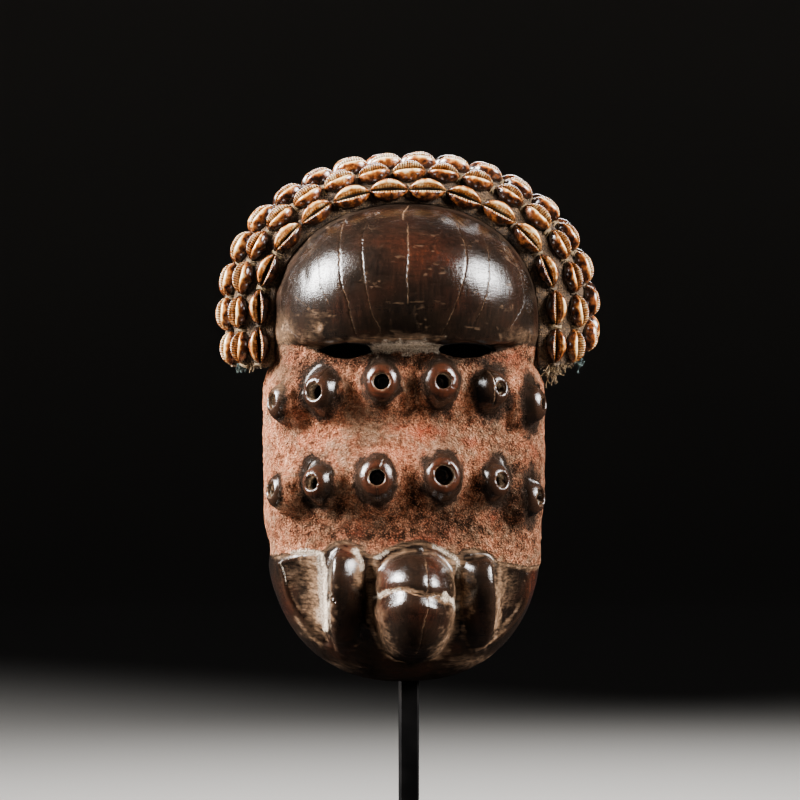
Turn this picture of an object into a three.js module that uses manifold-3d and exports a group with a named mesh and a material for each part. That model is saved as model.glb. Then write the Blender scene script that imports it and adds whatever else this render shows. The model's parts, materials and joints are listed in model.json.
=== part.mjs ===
// A carved wooden face mask with a padded cloth headdress sewn with rows of cowrie shells,
// held up by a square steel post on a flat base plate.
// Millimetres, +Z up. The mask looks along -Y, and X is the viewer's right.
// The origin is the centre of the base plate's underside.
import * as THREE from "three";
import { mergeVertices } from "three/addons/utils/BufferGeometryUtils.js";
import Module from "manifold-3d";

const wasm = await Module();
wasm.setup();

// Driving heights, measured up from the floor
const CHIN_Z = 110;
const JAW_Z = 190;
const EYE_Z = 311;
const BROW_Z = 314.5;
const TEMPLE_Z = 330;
const CROWN_Z = 401.5;
const HEADDRESS_HEM_Z = 303;

// The mask's flat back rim lies in the plane y = RIM_Y, and every depth is measured forward of it
const RIM_Y = 16;
const TOUCH_GAP = 0.3;

// The mask hangs a little to the viewer's left of its post
const MASK_X = -3;

// Face block: horizontal slices are half superellipses of this half width and depth. It flares from
// the eyes to the cheeks, and its middle line drifts aside between the jaw and the eyes
const FACE_HALF_WIDTH = 84.3;
const EYE_HALF_WIDTH = 80;
const FACE_DEPTH = 61;
const SLICE_POWER = 2.4;
const JAW_POWER = 2.3;
const JAW_WIDTH_Z = 205;
const CHEEK_FLARE = { below: 290, above: 306 };
const FACE_DRIFT = { aside: -1.6, chinZ: 150, jawZ: 220, cheekZ: 290, eyeZ: 320 };
const ROLLS = [
  { z: 288, height: 3, spread: 14 },
  { z: 237, height: 4, spread: 17 },
  { z: 205, height: -3, spread: 11 },
];

// Forehead: a dome that overhangs the eyes, with a small round under its lower edge
const BROW_HALF_WIDTH = 81.2;
const BROW_DEPTH = 84;
const BROW_BULGE_Z = 345;
const BROW_BACKSET = 9;
const BROW_POWER = 2.13;
const BROW_EDGE = { narrower: 1.2, shallower: 3, tall: 2 };

// How finely the slices and their heights are stepped, and how far a closed end stops from its pole
const SLICE_STEPS = 20;
const CHIN_ROWS = 8;
const FACE_ROWS = 11;
const BROW_ROWS = 10;
const POLE_INSET = 0.35;

// The hollow for the wearer's face follows the outside at a wall's thickness, without its carving.
// It deepens from the jaw to the cheeks and again behind the forehead, and reaches out behind the rim
const WALL = 9.5;
const HOLLOW = {
  midZ: 250,
  past: 2,
  steps: 10,
  lowerRows: 6,
  upperRows: 8,
  jaw: { depth: 40, toZ: 175 },
  cheek: { depth: 50, fromZ: 215, toZ: 315 },
  brow: { depth: 72, fromZ: 338 },
  flare: { wider: 3, below: 285, above: 312 },
};

// Snout with the cleft that parts its lips
const SNOUT = { x: 2.6, depth: 51, z: 163, halfX: 25, halfY: 40, up: 29, down: 39, power: 2.4, lean: 15 };
const CLEFT = { z: 165.5, width: 2.2, deep: 2.2, clear: 3 };

// A tusk runs down the jaw as a ridge, steep on its outer side and sloping towards the snout.
// Each station gives its two feet and its crest across the face, and the crest's rise above the face
const TUSKS = [
  [
    { z: 192.5, outer: -45, crest: -41, inner: -35, rise: 1 },
    { z: 188, outer: -48, crest: -42.5, inner: -29.5, rise: 8.5 },
    { z: 178, outer: -49, crest: -43, inner: -26.5, rise: 12.5 },
    { z: 163, outer: -49, crest: -43.5, inner: -25.5, rise: 14 },
    { z: 148, outer: -48, crest: -43, inner: -25.5, rise: 13.5 },
    { z: 138, outer: -46, crest: -41, inner: -28, rise: 9 },
    { z: 130, outer: -43, crest: -39, inner: -32, rise: 1 },
  ],
  [
    { z: 188.5, outer: 47, crest: 41, inner: 34, rise: 1 },
    { z: 184, outer: 50, crest: 43, inner: 30.5, rise: 9 },
    { z: 174, outer: 51, crest: 44.5, inner: 29, rise: 13 },
    { z: 160, outer: 52, crest: 46, inner: 29, rise: 14.5 },
    { z: 147, outer: 51.5, crest: 46, inner: 29.5, rise: 13.5 },
    { z: 138, outer: 49, crest: 44, inner: 31, rise: 8.5 },
    { z: 130, outer: 45, crest: 41, inner: 35, rise: 1 },
  ],
];
const TUSK_FOOT = 5;

// The tusk's section from its outer foot over the crest: how far towards the next line, how high
const TUSK_OUTER_SIDE = [
  { toCrest: 0.22, rise: 0.72 },
  { toCrest: 0.68, rise: 0.98 },
];
const TUSK_INNER_SIDE = [
  { toFoot: 0.15, rise: 1 },
  { toFoot: 0.5, rise: 0.8 },
  { toFoot: 0.85, rise: 0.35 },
];

// Clefts on both sides of the snout, cut into the face as upright eggs
const SIDE_CLEFTS = [
  { x: -24, depth: 63, z: 160, halfX: 5.5, halfY: 14, up: 25, down: 28 },
  { x: 28.5, depth: 63, z: 160, halfX: 4.5, halfY: 13, up: 25, down: 27 },
];

// A jaw plate outside each tusk is hollowed from its rim to the groove beside the tusk. `cut` says
// how far the hollowing has gone, from the face's own curve at 0 to a dished flat at 1
const JAW_PLATES = [
  [
    { z: 186, rim: -80, groove: -50, cut: 0 },
    { z: 181, rim: -78.5, groove: -50, cut: 0.45 },
    { z: 170, rim: -75.5, groove: -50, cut: 0.95 },
    { z: 158, rim: -71, groove: -49.5, cut: 1 },
    { z: 148, rim: -65, groove: -49, cut: 1 },
    { z: 140, rim: -58, groove: -48, cut: 0.9 },
    { z: 134, rim: -51, groove: -47, cut: 0.6 },
  ],
  [
    { z: 182, rim: 79, groove: 53, cut: 0 },
    { z: 178, rim: 77.5, groove: 53, cut: 0.3 },
    { z: 168, rim: 73.5, groove: 53, cut: 0.6 },
    { z: 158, rim: 70.5, groove: 53, cut: 1 },
    { z: 149, rim: 66, groove: 52.5, cut: 1 },
    { z: 142, rim: 60, groove: 51.5, cut: 0.9 },
    { z: 137, rim: 54, groove: 50, cut: 0.5 },
  ],
];
const PLATE_DISH = 3.5;
const PLATE_CLEAR = 20;
const PLATE_STEPS = 4;

// Stubs: a hollow barrel on an upright oval mound, six in the upper row from the viewer's left and
// six in the lower. Each entry places the middle of its mouth and says how far it turns to the side,
// its size against the largest and the radius of its hole
const STUBS = [
  { x: -82.6, z: 280.9, turn: -58, size: 0.88, hole: 4.2 },
  { x: -58.2, z: 286.8, turn: -38, size: 0.9, hole: 5 },
  { x: -18.5, z: 292.7, turn: -8, size: 0.94, hole: 5.1 },
  { x: 18.6, z: 293, turn: 10, size: 0.97, hole: 4.6 },
  { x: 52.8, z: 288.8, turn: 38, size: 0.84, hole: 3.4 },
  { x: 78.5, z: 279.5, turn: 57, size: 0.9, hole: 4 },
  { x: -83.2, z: 227.8, turn: -57, size: 0.84, hole: 4.2 },
  { x: -59.7, z: 232.8, turn: -38, size: 0.82, hole: 4.2 },
  { x: -21.3, z: 236.3, turn: -6, size: 1, hole: 4.9 },
  { x: 19.2, z: 237.5, turn: 8, size: 1, hole: 6 },
  { x: 53.4, z: 234.1, turn: 38, size: 0.82, hole: 4.2 },
  { x: 76.9, z: 223.4, turn: 52, size: 0.86, hole: 5 },
];
const STUB_HEIGHT = 13;
const STUB_LIFT = 5;
const STUB_SIDES = 12;
const BORE_SIDES = 8;
const BORE_DEPTH = 15;
const BORE_CLEAR = 1;

// Rings of the largest stub from its foot to its mouth: height share, half width and half height
const STUB_PROFILE = [
  { up: -0.4, across: 13, along: 17.5 },
  { up: 0.4, across: 11.2, along: 13.8 },
  { up: 0.88, across: 9.9, along: 11.4 },
  { up: 1, across: 8, along: 9.2 },
];

// Eye slits: a low arch over a sagging lower edge, cut straight through the wall
const EYES = [
  { inner: -19.9, outer: -53.8 },
  { inner: 13.3, outer: 51.9 },
];
const EYE_ARCH = { rise: 5.7, shoulder: 0.7 };
const EYE_SAG = { drop: 6.75, shoulder: 0.6 };
const EYE_INSIDE = 20;

// Headdress: a padded roll round the mask's rim that runs back into a closed cap.
// A ring at each depth is an arch of half axes (wide, tall) on straight sides down to the hem
const ROLL_RADIUS = 31;
const ROLL_INSET = 6.5;
const ROLL_FRONT = 22;
const ROLL_START = THREE.MathUtils.degToRad(13.8);
const ROLL_STEPS = 5;
const ROLL_AXIS_Y = RIM_Y - ROLL_FRONT + ROLL_RADIUS * Math.cos(ROLL_START);
const ARCH_STEPS = 16;

// The roll isn't even: it is thicker on the viewer's right, and rises most between there and the top.
// Each share is of how far a ring lies out of the mask's edge
const ROLL_SPREAD = { left: 1.1, right: 1.33, top: 0.97, lift: 0.2 };

// The cap shrinks towards its back through these angles, and its lining follows it a cloth's
// thickness inside. `fit` is the cloth's play round the wood
const CAP_DEPTH = 52;
const CAP_ANGLES = [18, 35, 52, 68, 82];
const LINING = { thick: 6, fit: 1, fold: 4, front: 2, rise: 0.5, swell: 6, below: 5 };
const LINING_ANGLES = [28, 56, 82];

// Cowries lie end to end along each row, mouth out, and touch at their tips. A row is placed by its
// turn round the roll, and past the widest ring the turn goes on as a length along the cap. `facing`
// leans a shell forward of the round roll's own normal, as the spread roll does
const COWRIE = { width: 13.6, height: 8.6, lift: 0.5, facing: 1.22 };
const FIRST_ROW_TURN = THREE.MathUtils.degToRad(25);
const ROW_STEP = THREE.MathUtils.degToRad(24.5);
const ROW_COUNTS = [14, 17, 18, 18, 16];
const ROW_PATH_STEPS = 400;
const CAP_ROW_RADIUS = 36;

// A cowrie's cross section, six points with a notch for its mouth, and its size along its length
const COWRIE_SECTION = [
  { across: -0.36, up: 0 },
  { across: -0.5, up: 0.45 },
  { across: -0.2, up: 1 },
  { across: 0.02, up: 0.72 },
  { across: 0.24, up: 0.95 },
  { across: 0.46, up: 0.12 },
];
const COWRIE_RINGS = {
  shown: [
    { along: 0, size: 0.18 },
    { along: 0.22, size: 0.84 },
    { along: 0.5, size: 1 },
    { along: 0.79, size: 0.8 },
  ],
  hidden: [
    { along: 0, size: 0.18 },
    { along: 0.3, size: 0.95 },
    { along: 0.68, size: 0.9 },
  ],
};
const COWRIE_WAIST = 0.35;

// Stand: the post touches the chin's rim and carries the mask by an arm under the crown
const BASE = { width: 130, depth: 130, thick: 10, bevel: 1 };
const POST = { side: 12, bevel: 1.2, armZ: 378.5, armThick: 6, armReach: 34, saddle: 30 };
const POST_Y = RIM_Y + TOUCH_GAP + POST.side / 2;

const PATINA = { color: 0x2a1a12, roughness: 0.3, metalness: 0 };
const CLOTH = { color: 0x7d6a55, roughness: 0.95, metalness: 0 };
const SHELL = { color: 0xb98850, roughness: 0.3, metalness: 0 };
const STEEL = { color: 0x0b0b0c, roughness: 0.5, metalness: 0.6 };

// Turns a closed geometry into a solid, facing out whichever way its rings were wound
function solidFrom(geometry) {
  const bare = geometry.index ? geometry.toNonIndexed() : geometry.clone();
  const points = new THREE.BufferGeometry();
  points.setAttribute("position", bare.getAttribute("position"));
  const merged = mergeVertices(points, 1e-3);
  const triVerts = new Uint32Array(merged.index.array);
  const vertProperties = merged.attributes.position.array;
  if (signedVolume(vertProperties, triVerts) < 0) {
    triVerts.reverse();
  }
  return new wasm.Manifold(new wasm.Mesh({ numProp: 3, vertProperties, triVerts }));
}

function signedVolume(xyz, tris) {
  const corner = (i) => new THREE.Vector3().fromArray(xyz, 3 * tris[i]);
  let six = 0;
  for (let i = 0; i < tris.length; i += 3) {
    six += corner(i).dot(corner(i + 1).cross(corner(i + 2)));
  }
  return six / 6;
}

function geometryFrom(solid) {
  const mesh = solid.getMesh();
  const geometry = new THREE.BufferGeometry();
  geometry.setAttribute("position", new THREE.BufferAttribute(mesh.vertProperties, 3));
  geometry.setIndex(new THREE.BufferAttribute(mesh.triVerts, 1));
  return geometry;
}

function namedMesh(name, solid, look) {
  const geometry = geometryFrom(solid);
  geometry.computeVertexNormals();
  const mesh = new THREE.Mesh(geometry, new THREE.MeshStandardMaterial(look));
  mesh.name = name;
  return mesh;
}

// Skins a stack of closed rings, all with the same number of points, and closes both ends with a fan
function loft(rings) {
  const count = rings[0].length;
  const xyz = [];
  const triangle = (a, b, c) => xyz.push(...a.toArray(), ...b.toArray(), ...c.toArray());
  for (let r = 0; r + 1 < rings.length; r++) {
    for (let i = 0; i < count; i++) {
      const j = (i + 1) % count;
      triangle(rings[r][i], rings[r][j], rings[r + 1][j]);
      triangle(rings[r][i], rings[r + 1][j], rings[r + 1][i]);
    }
  }
  const fan = (ring, forward) => {
    const hub = ring.reduce((sum, p) => sum.add(p), new THREE.Vector3()).divideScalar(count);
    for (let i = 0; i < count; i++) {
      const j = (i + 1) % count;
      if (forward) triangle(hub, ring[i], ring[j]);
      else triangle(hub, ring[j], ring[i]);
    }
  };
  fan(rings[0], false);
  fan(rings.at(-1), true);
  const geometry = new THREE.BufferGeometry();
  geometry.setAttribute("position", new THREE.Float32BufferAttribute(xyz, 3));
  return solidFrom(geometry);
}

const smooth = (from, to, t) => THREE.MathUtils.smoothstep(t, from, to);
const superFall = (t, power) => Math.pow(Math.max(0, 1 - Math.pow(Math.abs(t), power)), 1 / power);

// Half width of the face block at height z: full at the cheeks, a waist at the eyes, round at the chin
function faceHalfWidth(z) {
  const chin = superFall(Math.max(0, JAW_WIDTH_Z - z) / (JAW_WIDTH_Z - CHIN_Z), JAW_POWER);
  const waist = smooth(CHEEK_FLARE.below, CHEEK_FLARE.above, z);
  return THREE.MathUtils.lerp(FACE_HALF_WIDTH, EYE_HALF_WIDTH, waist) * chin;
}

function faceDepth(z) {
  const chin = superFall(Math.max(0, JAW_Z - z) / (JAW_Z - CHIN_Z), JAW_POWER);
  const swell = (roll) => roll.height * Math.exp(-(((z - roll.z) / roll.spread) ** 2));
  return ROLLS.reduce((depth, roll) => depth + swell(roll), FACE_DEPTH) * chin;
}

function faceShift(z) {
  const { aside, chinZ, jawZ, cheekZ, eyeZ } = FACE_DRIFT;
  return aside * smooth(chinZ, jawZ, z) * (1 - smooth(cheekZ, eyeZ, z));
}

function browHalfWidth(z) {
  return BROW_HALF_WIDTH * superFall(Math.max(0, z - TEMPLE_Z) / (CROWN_Z - TEMPLE_Z), BROW_POWER);
}

function browDepth(z) {
  if (z > BROW_BULGE_Z) {
    return BROW_DEPTH * superFall((z - BROW_BULGE_Z) / (CROWN_Z - BROW_BULGE_Z), BROW_POWER);
  }
  return BROW_DEPTH - BROW_BACKSET * ((BROW_BULGE_Z - z) / (BROW_BULGE_Z - BROW_Z)) ** 2;
}

// One horizontal slice: a half superellipse in front of the plane at depth `back`
function slice(z, halfWidth, depth, steps, shift = 0, back = 0) {
  const ring = [];
  for (let i = 0; i <= steps; i++) {
    const angle = -Math.PI / 2 + (Math.PI * i) / steps;
    const across = Math.sign(angle) * Math.pow(Math.abs(Math.sin(angle)), 2 / SLICE_POWER);
    const ahead = Math.pow(Math.max(0, Math.cos(angle)), 2 / SLICE_POWER);
    const rest = i === 0 || i === steps ? back : depth * ahead;
    ring.push(new THREE.Vector3(shift + halfWidth * across, RIM_Y - rest, z));
  }
  return ring;
}

// Ways to space heights: evenly, or closer towards the end that closes to a pole
const even = (t) => t;
const closeBelow = (t) => 1 - Math.cos((Math.PI * t) / 2);
const closeAbove = (t) => Math.sin((Math.PI * t) / 2);

function heights(from, to, steps, spacing) {
  return Array.from({ length: steps + 1 }, (_, i) => from + (to - from) * spacing(i / steps));
}

function faceBlock() {
  const chin = heights(CHIN_Z + POLE_INSET, JAW_Z, CHIN_ROWS, closeBelow);
  const upper = heights(JAW_Z, TEMPLE_Z, FACE_ROWS, even).slice(1);
  const sliceAt = (z) => slice(z, faceHalfWidth(z), faceDepth(z), SLICE_STEPS, faceShift(z));
  return loft([...chin, ...upper].map(sliceAt));
}

function foreheadDome() {
  const { narrower, shallower, tall } = BROW_EDGE;
  const sliceAt = (z, less = 0, thinner = 0) =>
    slice(z, browHalfWidth(z) - less, browDepth(z) - thinner, SLICE_STEPS);
  const above = heights(BROW_Z + tall, CROWN_Z - POLE_INSET, BROW_ROWS, closeAbove);
  return loft([sliceAt(BROW_Z, narrower, shallower), ...above.map((z) => sliceAt(z))]);
}

function hollow() {
  const bottom = CHIN_Z + WALL;
  const top = CROWN_Z - WALL;
  const { midZ, past, steps, lowerRows, upperRows, jaw, cheek, brow, flare } = HOLLOW;
  const depthAt = (z) => {
    const chin = superFall(Math.max(0, JAW_Z - z) / (JAW_Z - bottom), JAW_POWER);
    const crown = superFall(Math.max(0, z - BROW_BULGE_Z) / (top - BROW_BULGE_Z), BROW_POWER);
    const toCheek = (cheek.depth - jaw.depth) * smooth(jaw.toZ, cheek.fromZ, z);
    const toBrow = (brow.depth - cheek.depth) * smooth(cheek.toZ, brow.fromZ, z);
    return (jaw.depth + toCheek + toBrow) * chin * crown;
  };
  const widthAt = (z) => {
    const chin = superFall(Math.max(0, JAW_WIDTH_Z - z) / (JAW_WIDTH_Z - bottom), JAW_POWER);
    const crown = superFall(Math.max(0, z - TEMPLE_Z) / (top - TEMPLE_Z), BROW_POWER);
    const cheeks = flare.wider * (1 - smooth(flare.below, flare.above, z));
    return (EYE_HALF_WIDTH - WALL + cheeks) * chin * crown;
  };
  const lower = heights(bottom + POLE_INSET, midZ, lowerRows, closeBelow);
  const upper = heights(midZ, top - POLE_INSET, upperRows, closeAbove).slice(1);
  const sliceAt = (z) => slice(z, widthAt(z), depthAt(z), steps, faceShift(z), -past);
  return loft([...lower, ...upper].map(sliceAt));
}

// An egg: a ball whose upper and lower halves have their own heights. A power over 2 fills its
// shoulders, and `lean` carries its lower end back
function egg(centre, halfX, halfY, up, down, across, levels, power = 2, lean = 0) {
  const geometry = new THREE.SphereGeometry(1, across, levels);
  geometry.rotateX(Math.PI / 2);
  const p = geometry.getAttribute("position");
  for (let i = 0; i < p.count; i++) {
    const level = p.getZ(i);
    const fill = superFall(level, power) / Math.max(1e-6, superFall(level, 2));
    const back = lean * Math.min(0, level) ** 2;
    const height = level * (level > 0 ? up : down);
    p.setXYZ(i, p.getX(i) * halfX * fill, p.getY(i) * halfY * fill + back, height);
  }
  geometry.translate(centre.x, centre.y, centre.z);
  return solidFrom(geometry);
}

const ahead = (x, depth, z) => new THREE.Vector3(x, RIM_Y - depth, z);

function snout() {
  const { halfX, halfY, up, down, power, lean } = SNOUT;
  const body = egg(ahead(SNOUT.x, SNOUT.depth, SNOUT.z), halfX, halfY, up, down, 18, 10, power, lean);
  const ellipse = (curve, inset) => curve.absellipse(0, 0, halfX - inset, halfY - inset, 0, 2 * Math.PI);
  const outline = ellipse(new THREE.Shape(), -CLEFT.clear);
  outline.holes.push(ellipse(new THREE.Path(), CLEFT.deep));
  const options = { depth: CLEFT.width, bevelEnabled: false, curveSegments: 12 };
  const ring = new THREE.ExtrudeGeometry(outline, options);
  ring.translate(SNOUT.x, RIM_Y - SNOUT.depth, CLEFT.z - CLEFT.width / 2);
  return body.subtract(solidFrom(ring));
}

function tusk(stations) {
  const rings = stations.map(({ z, outer, crest, inner, rise }) => {
    const point = (from, to, share, height) =>
      ahead(THREE.MathUtils.lerp(from, to, share), faceSurface(crest, z) + rise * height, z);
    return [
      ahead(outer, faceSurface(outer, z) - TUSK_FOOT, z),
      ...TUSK_OUTER_SIDE.map((p) => point(outer, crest, p.toCrest, p.rise)),
      ...TUSK_INNER_SIDE.map((p) => point(crest, inner, p.toFoot, p.rise)),
      ahead(inner, faceSurface(inner, z) - 2 * TUSK_FOOT, z),
    ];
  });
  return loft(rings);
}

function plateHollow(stations) {
  const rings = stations.map(({ z, rim, groove, cut }) => {
    const onFace = (x) => new THREE.Vector2(x, faceSurface(x, z));
    const a = onFace(rim);
    const b = onFace(groove);
    const away = new THREE.Vector2(Math.sign(rim) * (b.y - a.y), Math.abs(a.x - b.x)).normalize();
    const ring = Array.from({ length: PLATE_STEPS + 1 }, (_, i) => {
      const t = i / PLATE_STEPS;
      const dish = PLATE_DISH * 4 * t * (1 - t);
      const flat = a.clone().lerp(b, t).addScaledVector(away, -dish);
      const curved = onFace(THREE.MathUtils.lerp(rim, groove, t)).addScaledVector(away, TOUCH_GAP);
      return curved.lerp(flat, cut);
    });
    ring.push(b.clone().addScaledVector(away, PLATE_CLEAR), a.clone().addScaledVector(away, PLATE_CLEAR));
    return ring.map((p) => ahead(p.x, p.y, z));
  });
  return loft(rings);
}

// Depth of the plain face surface at x and height z
function faceSurface(x, z) {
  return faceDepth(z) * superFall(Math.min(1, Math.abs(x - faceShift(z)) / faceHalfWidth(z)), SLICE_POWER);
}

// The stub's own axes: `out` along its bore, `up` along its height and `side` across it
function stubAxes(stub) {
  const turn = THREE.MathUtils.degToRad(stub.turn);
  const lift = THREE.MathUtils.degToRad(STUB_LIFT);
  const out = new THREE.Vector3(
    Math.sin(turn) * Math.cos(lift),
    -Math.cos(turn) * Math.cos(lift),
    Math.sin(lift),
  );
  const side = new THREE.Vector3().crossVectors(new THREE.Vector3(0, 0, 1), out).normalize();
  const up = new THREE.Vector3().crossVectors(out, side);
  const rootX = stub.x - STUB_HEIGHT * out.x;
  const rootZ = stub.z - STUB_HEIGHT * out.z;
  const root = ahead(rootX, faceSurface(rootX, rootZ), rootZ);
  return { out, side, up, root };
}

function stubRing({ out, side, up, root }, sides, height, across, along) {
  return Array.from({ length: sides }, (_, i) => {
    const angle = (2 * Math.PI * i) / sides;
    return root
      .clone()
      .addScaledVector(out, height)
      .addScaledVector(side, across * Math.cos(angle))
      .addScaledVector(up, along * Math.sin(angle));
  });
}

function stubMound(stub) {
  const axes = stubAxes(stub);
  return loft(
    STUB_PROFILE.map((p) =>
      stubRing(axes, STUB_SIDES, p.up * STUB_HEIGHT, p.across * stub.size, p.along * stub.size),
    ),
  );
}

function stubBore(stub) {
  const axes = stubAxes(stub);
  const floor = stubRing(axes, BORE_SIDES, STUB_HEIGHT - BORE_DEPTH, stub.hole, stub.hole);
  const mouth = stubRing(axes, BORE_SIDES, STUB_HEIGHT + BORE_CLEAR, stub.hole, stub.hole);
  return loft([floor, mouth]);
}

function eyeSlit(eye) {
  const middle = (eye.inner + eye.outer) / 2;
  const half = Math.abs(eye.outer - eye.inner) / 2;
  const shape = new THREE.Shape();
  const top = half * EYE_ARCH.shoulder;
  const bottom = half * EYE_SAG.shoulder;
  shape.moveTo(-half, 0);
  shape.bezierCurveTo(-top, EYE_ARCH.rise, top, EYE_ARCH.rise, half, 0);
  shape.bezierCurveTo(bottom, -EYE_SAG.drop, -bottom, -EYE_SAG.drop, -half, 0);
  const options = { depth: BROW_DEPTH, bevelEnabled: false, curveSegments: 5 };
  const cut = new THREE.ExtrudeGeometry(shape, options);
  cut.rotateX(Math.PI / 2);
  cut.translate(middle, RIM_Y - EYE_INSIDE, EYE_Z);
  return solidFrom(cut);
}

function woodMask() {
  const join = (solid, pieces) => pieces.reduce((all, piece) => all.add(piece), solid);
  const carve = (solid, pieces) => pieces.reduce((all, piece) => all.subtract(piece), solid);
  const clefts = SIDE_CLEFTS.map((c) =>
    egg(ahead(c.x, c.depth, c.z), c.halfX, c.halfY, c.up, c.down, 10, 8),
  );
  const jaw = carve(faceBlock(), [...JAW_PLATES.map(plateHollow), ...clefts]);
  const outside = join(jaw, [foreheadDome(), snout(), ...TUSKS.map(tusk), ...STUBS.map(stubMound)]);
  return carve(outside, [hollow(), ...STUBS.map(stubBore), ...EYES.map(eyeSlit)]);
}

const rollOut = (turn) => -ROLL_INSET + ROLL_RADIUS * Math.sin(turn);
const rollY = (turn) => ROLL_AXIS_Y - ROLL_RADIUS * Math.cos(turn);

// The arch in the XZ plane: straight sides up from `bottom`, then the forehead's own curve made larger
function archPath(out, shrink, bottom, steps) {
  const left = (BROW_HALF_WIDTH + out * ROLL_SPREAD.left) * shrink;
  const right = (BROW_HALF_WIDTH + out * ROLL_SPREAD.right) * shrink;
  const tall = (CROWN_Z - TEMPLE_Z + out * ROLL_SPREAD.top) * shrink;
  const lift = out * ROLL_SPREAD.lift * shrink;
  const curve = Array.from({ length: steps + 1 }, (_, i) => {
    const angle = (Math.PI * i) / steps;
    const aside = Math.pow(Math.abs(Math.cos(angle)), 2 / BROW_POWER);
    const rise = i < steps ? Math.pow(Math.sin(angle), 2 / BROW_POWER) : 0;
    return Math.cos(angle) > 0
      ? new THREE.Vector2(-left * aside, TEMPLE_Z + tall * rise)
      : new THREE.Vector2(right * aside, TEMPLE_Z + (tall + lift * aside) * rise);
  });
  return [new THREE.Vector2(-left, bottom), ...curve, new THREE.Vector2(right, bottom)];
}

function archRing(out, y, bottom, shrink = 1) {
  return archPath(out, shrink, bottom, ARCH_STEPS).map((p) => new THREE.Vector3(p.x, y, p.y));
}

function clothHeaddress() {
  const widest = rollOut(Math.PI / 2);
  const { thick, fit, fold, front, rise, swell } = LINING;
  const outer = [];
  for (let i = 0; i <= ROLL_STEPS; i++) {
    const turn = THREE.MathUtils.lerp(ROLL_START, Math.PI / 2, i / ROLL_STEPS);
    outer.push(archRing(rollOut(turn), rollY(turn), HEADDRESS_HEM_Z));
  }
  for (const degrees of CAP_ANGLES) {
    const t = THREE.MathUtils.degToRad(degrees);
    outer.push(archRing(widest, ROLL_AXIS_Y + CAP_DEPTH * Math.sin(t), HEADDRESS_HEM_Z, Math.cos(t)));
  }
  const below = HEADDRESS_HEM_Z - LINING.below;
  const inner = [
    archRing(fit, RIM_Y - ROLL_FRONT - front, below),
    archRing(fit, RIM_Y + rise, below),
    archRing(widest - thick - fold, RIM_Y + swell, below),
    archRing(widest - thick, ROLL_AXIS_Y + front, below),
  ];
  for (const degrees of LINING_ANGLES) {
    const t = THREE.MathUtils.degToRad(degrees);
    const y = ROLL_AXIS_Y + front + (CAP_DEPTH - thick - front) * Math.sin(t);
    inner.push(archRing(widest - thick, y, below, Math.cos(t)));
  }
  return loft(outer).subtract(loft(inner));
}

// Where a row runs on the cloth: how far out of the mask's edge, its depth, and the tilt of its normal
function rowPlace(turn) {
  if (turn <= Math.PI / 2) {
    const back = Math.cos(turn) * COWRIE.facing;
    return { out: rollOut(turn), y: rollY(turn), shrink: 1, back, away: Math.sin(turn) };
  }
  const halfWide = BROW_HALF_WIDTH + rollOut(Math.PI / 2);
  const travel = (turn - Math.PI / 2) * CAP_ROW_RADIUS;
  const t = Math.asin(Math.min(1, travel / CAP_DEPTH));
  const normal = new THREE.Vector2(Math.cos(t) / halfWide, Math.sin(t) / CAP_DEPTH).normalize();
  return {
    out: rollOut(Math.PI / 2),
    y: ROLL_AXIS_Y + CAP_DEPTH * Math.sin(t),
    shrink: Math.cos(t),
    back: -normal.y,
    away: normal.x,
  };
}

// Points and tangents at chosen lengths along a path in the XZ plane
function pathReader(path) {
  const along = [0];
  for (let i = 1; i < path.length; i++) {
    along.push(along[i - 1] + path[i].distanceTo(path[i - 1]));
  }
  const length = along.at(-1);
  const read = (s) => {
    const i = Math.max(1, along.findIndex((a) => a >= Math.min(s, length - 1e-6)));
    const share = (s - along[i - 1]) / (along[i] - along[i - 1]);
    return {
      point: path[i - 1].clone().lerp(path[i], share),
      tangent: path[i].clone().sub(path[i - 1]).normalize(),
    };
  };
  return { length, read };
}

function cowrieRow(turn, count) {
  const place = rowPlace(turn);
  const profile = turn < Math.PI / 2 ? COWRIE_RINGS.shown : COWRIE_RINGS.hidden;
  const { length, read } = pathReader(archPath(place.out, place.shrink, HEADDRESS_HEM_Z, ROW_PATH_STEPS));
  const pitch = length / count;
  const ringAt = (s, size) => {
    const { point, tangent } = read(s);
    const along = new THREE.Vector3(tangent.x, 0, tangent.y);
    const normal = new THREE.Vector3(-tangent.y * place.away, -place.back, tangent.x * place.away);
    normal.normalize();
    const across = new THREE.Vector3().crossVectors(along, normal);
    const foot = new THREE.Vector3(point.x, place.y, point.y).addScaledVector(normal, COWRIE.lift);
    return COWRIE_SECTION.map((p) =>
      foot
        .clone()
        .addScaledVector(across, p.across * COWRIE.width * size)
        .addScaledVector(normal, COWRIE.height * (COWRIE_WAIST + (p.up - COWRIE_WAIST) * size)),
    );
  };
  const rings = [];
  for (let k = 0; k < count; k++) {
    for (const { along, size } of profile) {
      rings.push(ringAt((k + along) * pitch, size));
    }
  }
  rings.push(ringAt(length, profile[0].size));
  return loft(rings);
}

function bevelledBlock(width, depth, bevel, from, to) {
  const outline = (inset) => {
    const x = width / 2 - inset;
    const y = depth / 2 - inset;
    const corners = [
      [-x, -y + bevel],
      [-x + bevel, -y],
      [x - bevel, -y],
      [x, -y + bevel],
    ];
    return [...corners, ...corners.map(([px, py]) => [-px, -py])];
  };
  const ring = (z, inset) => outline(inset).map(([px, py]) => new THREE.Vector3(px, py, z));
  const edge = bevel / 2;
  return loft([ring(from, edge), ring(from + edge, 0), ring(to - edge, 0), ring(to, edge)]);
}

function box(from, to) {
  const size = to.clone().sub(from);
  const geometry = new THREE.BoxGeometry(size.x, size.y, size.z);
  geometry.translate((from.x + to.x) / 2, (from.y + to.y) / 2, (from.z + to.z) / 2);
  return solidFrom(geometry);
}

function standBase() {
  return bevelledBlock(BASE.width, BASE.depth, BASE.bevel, 0, BASE.thick);
}

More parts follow.
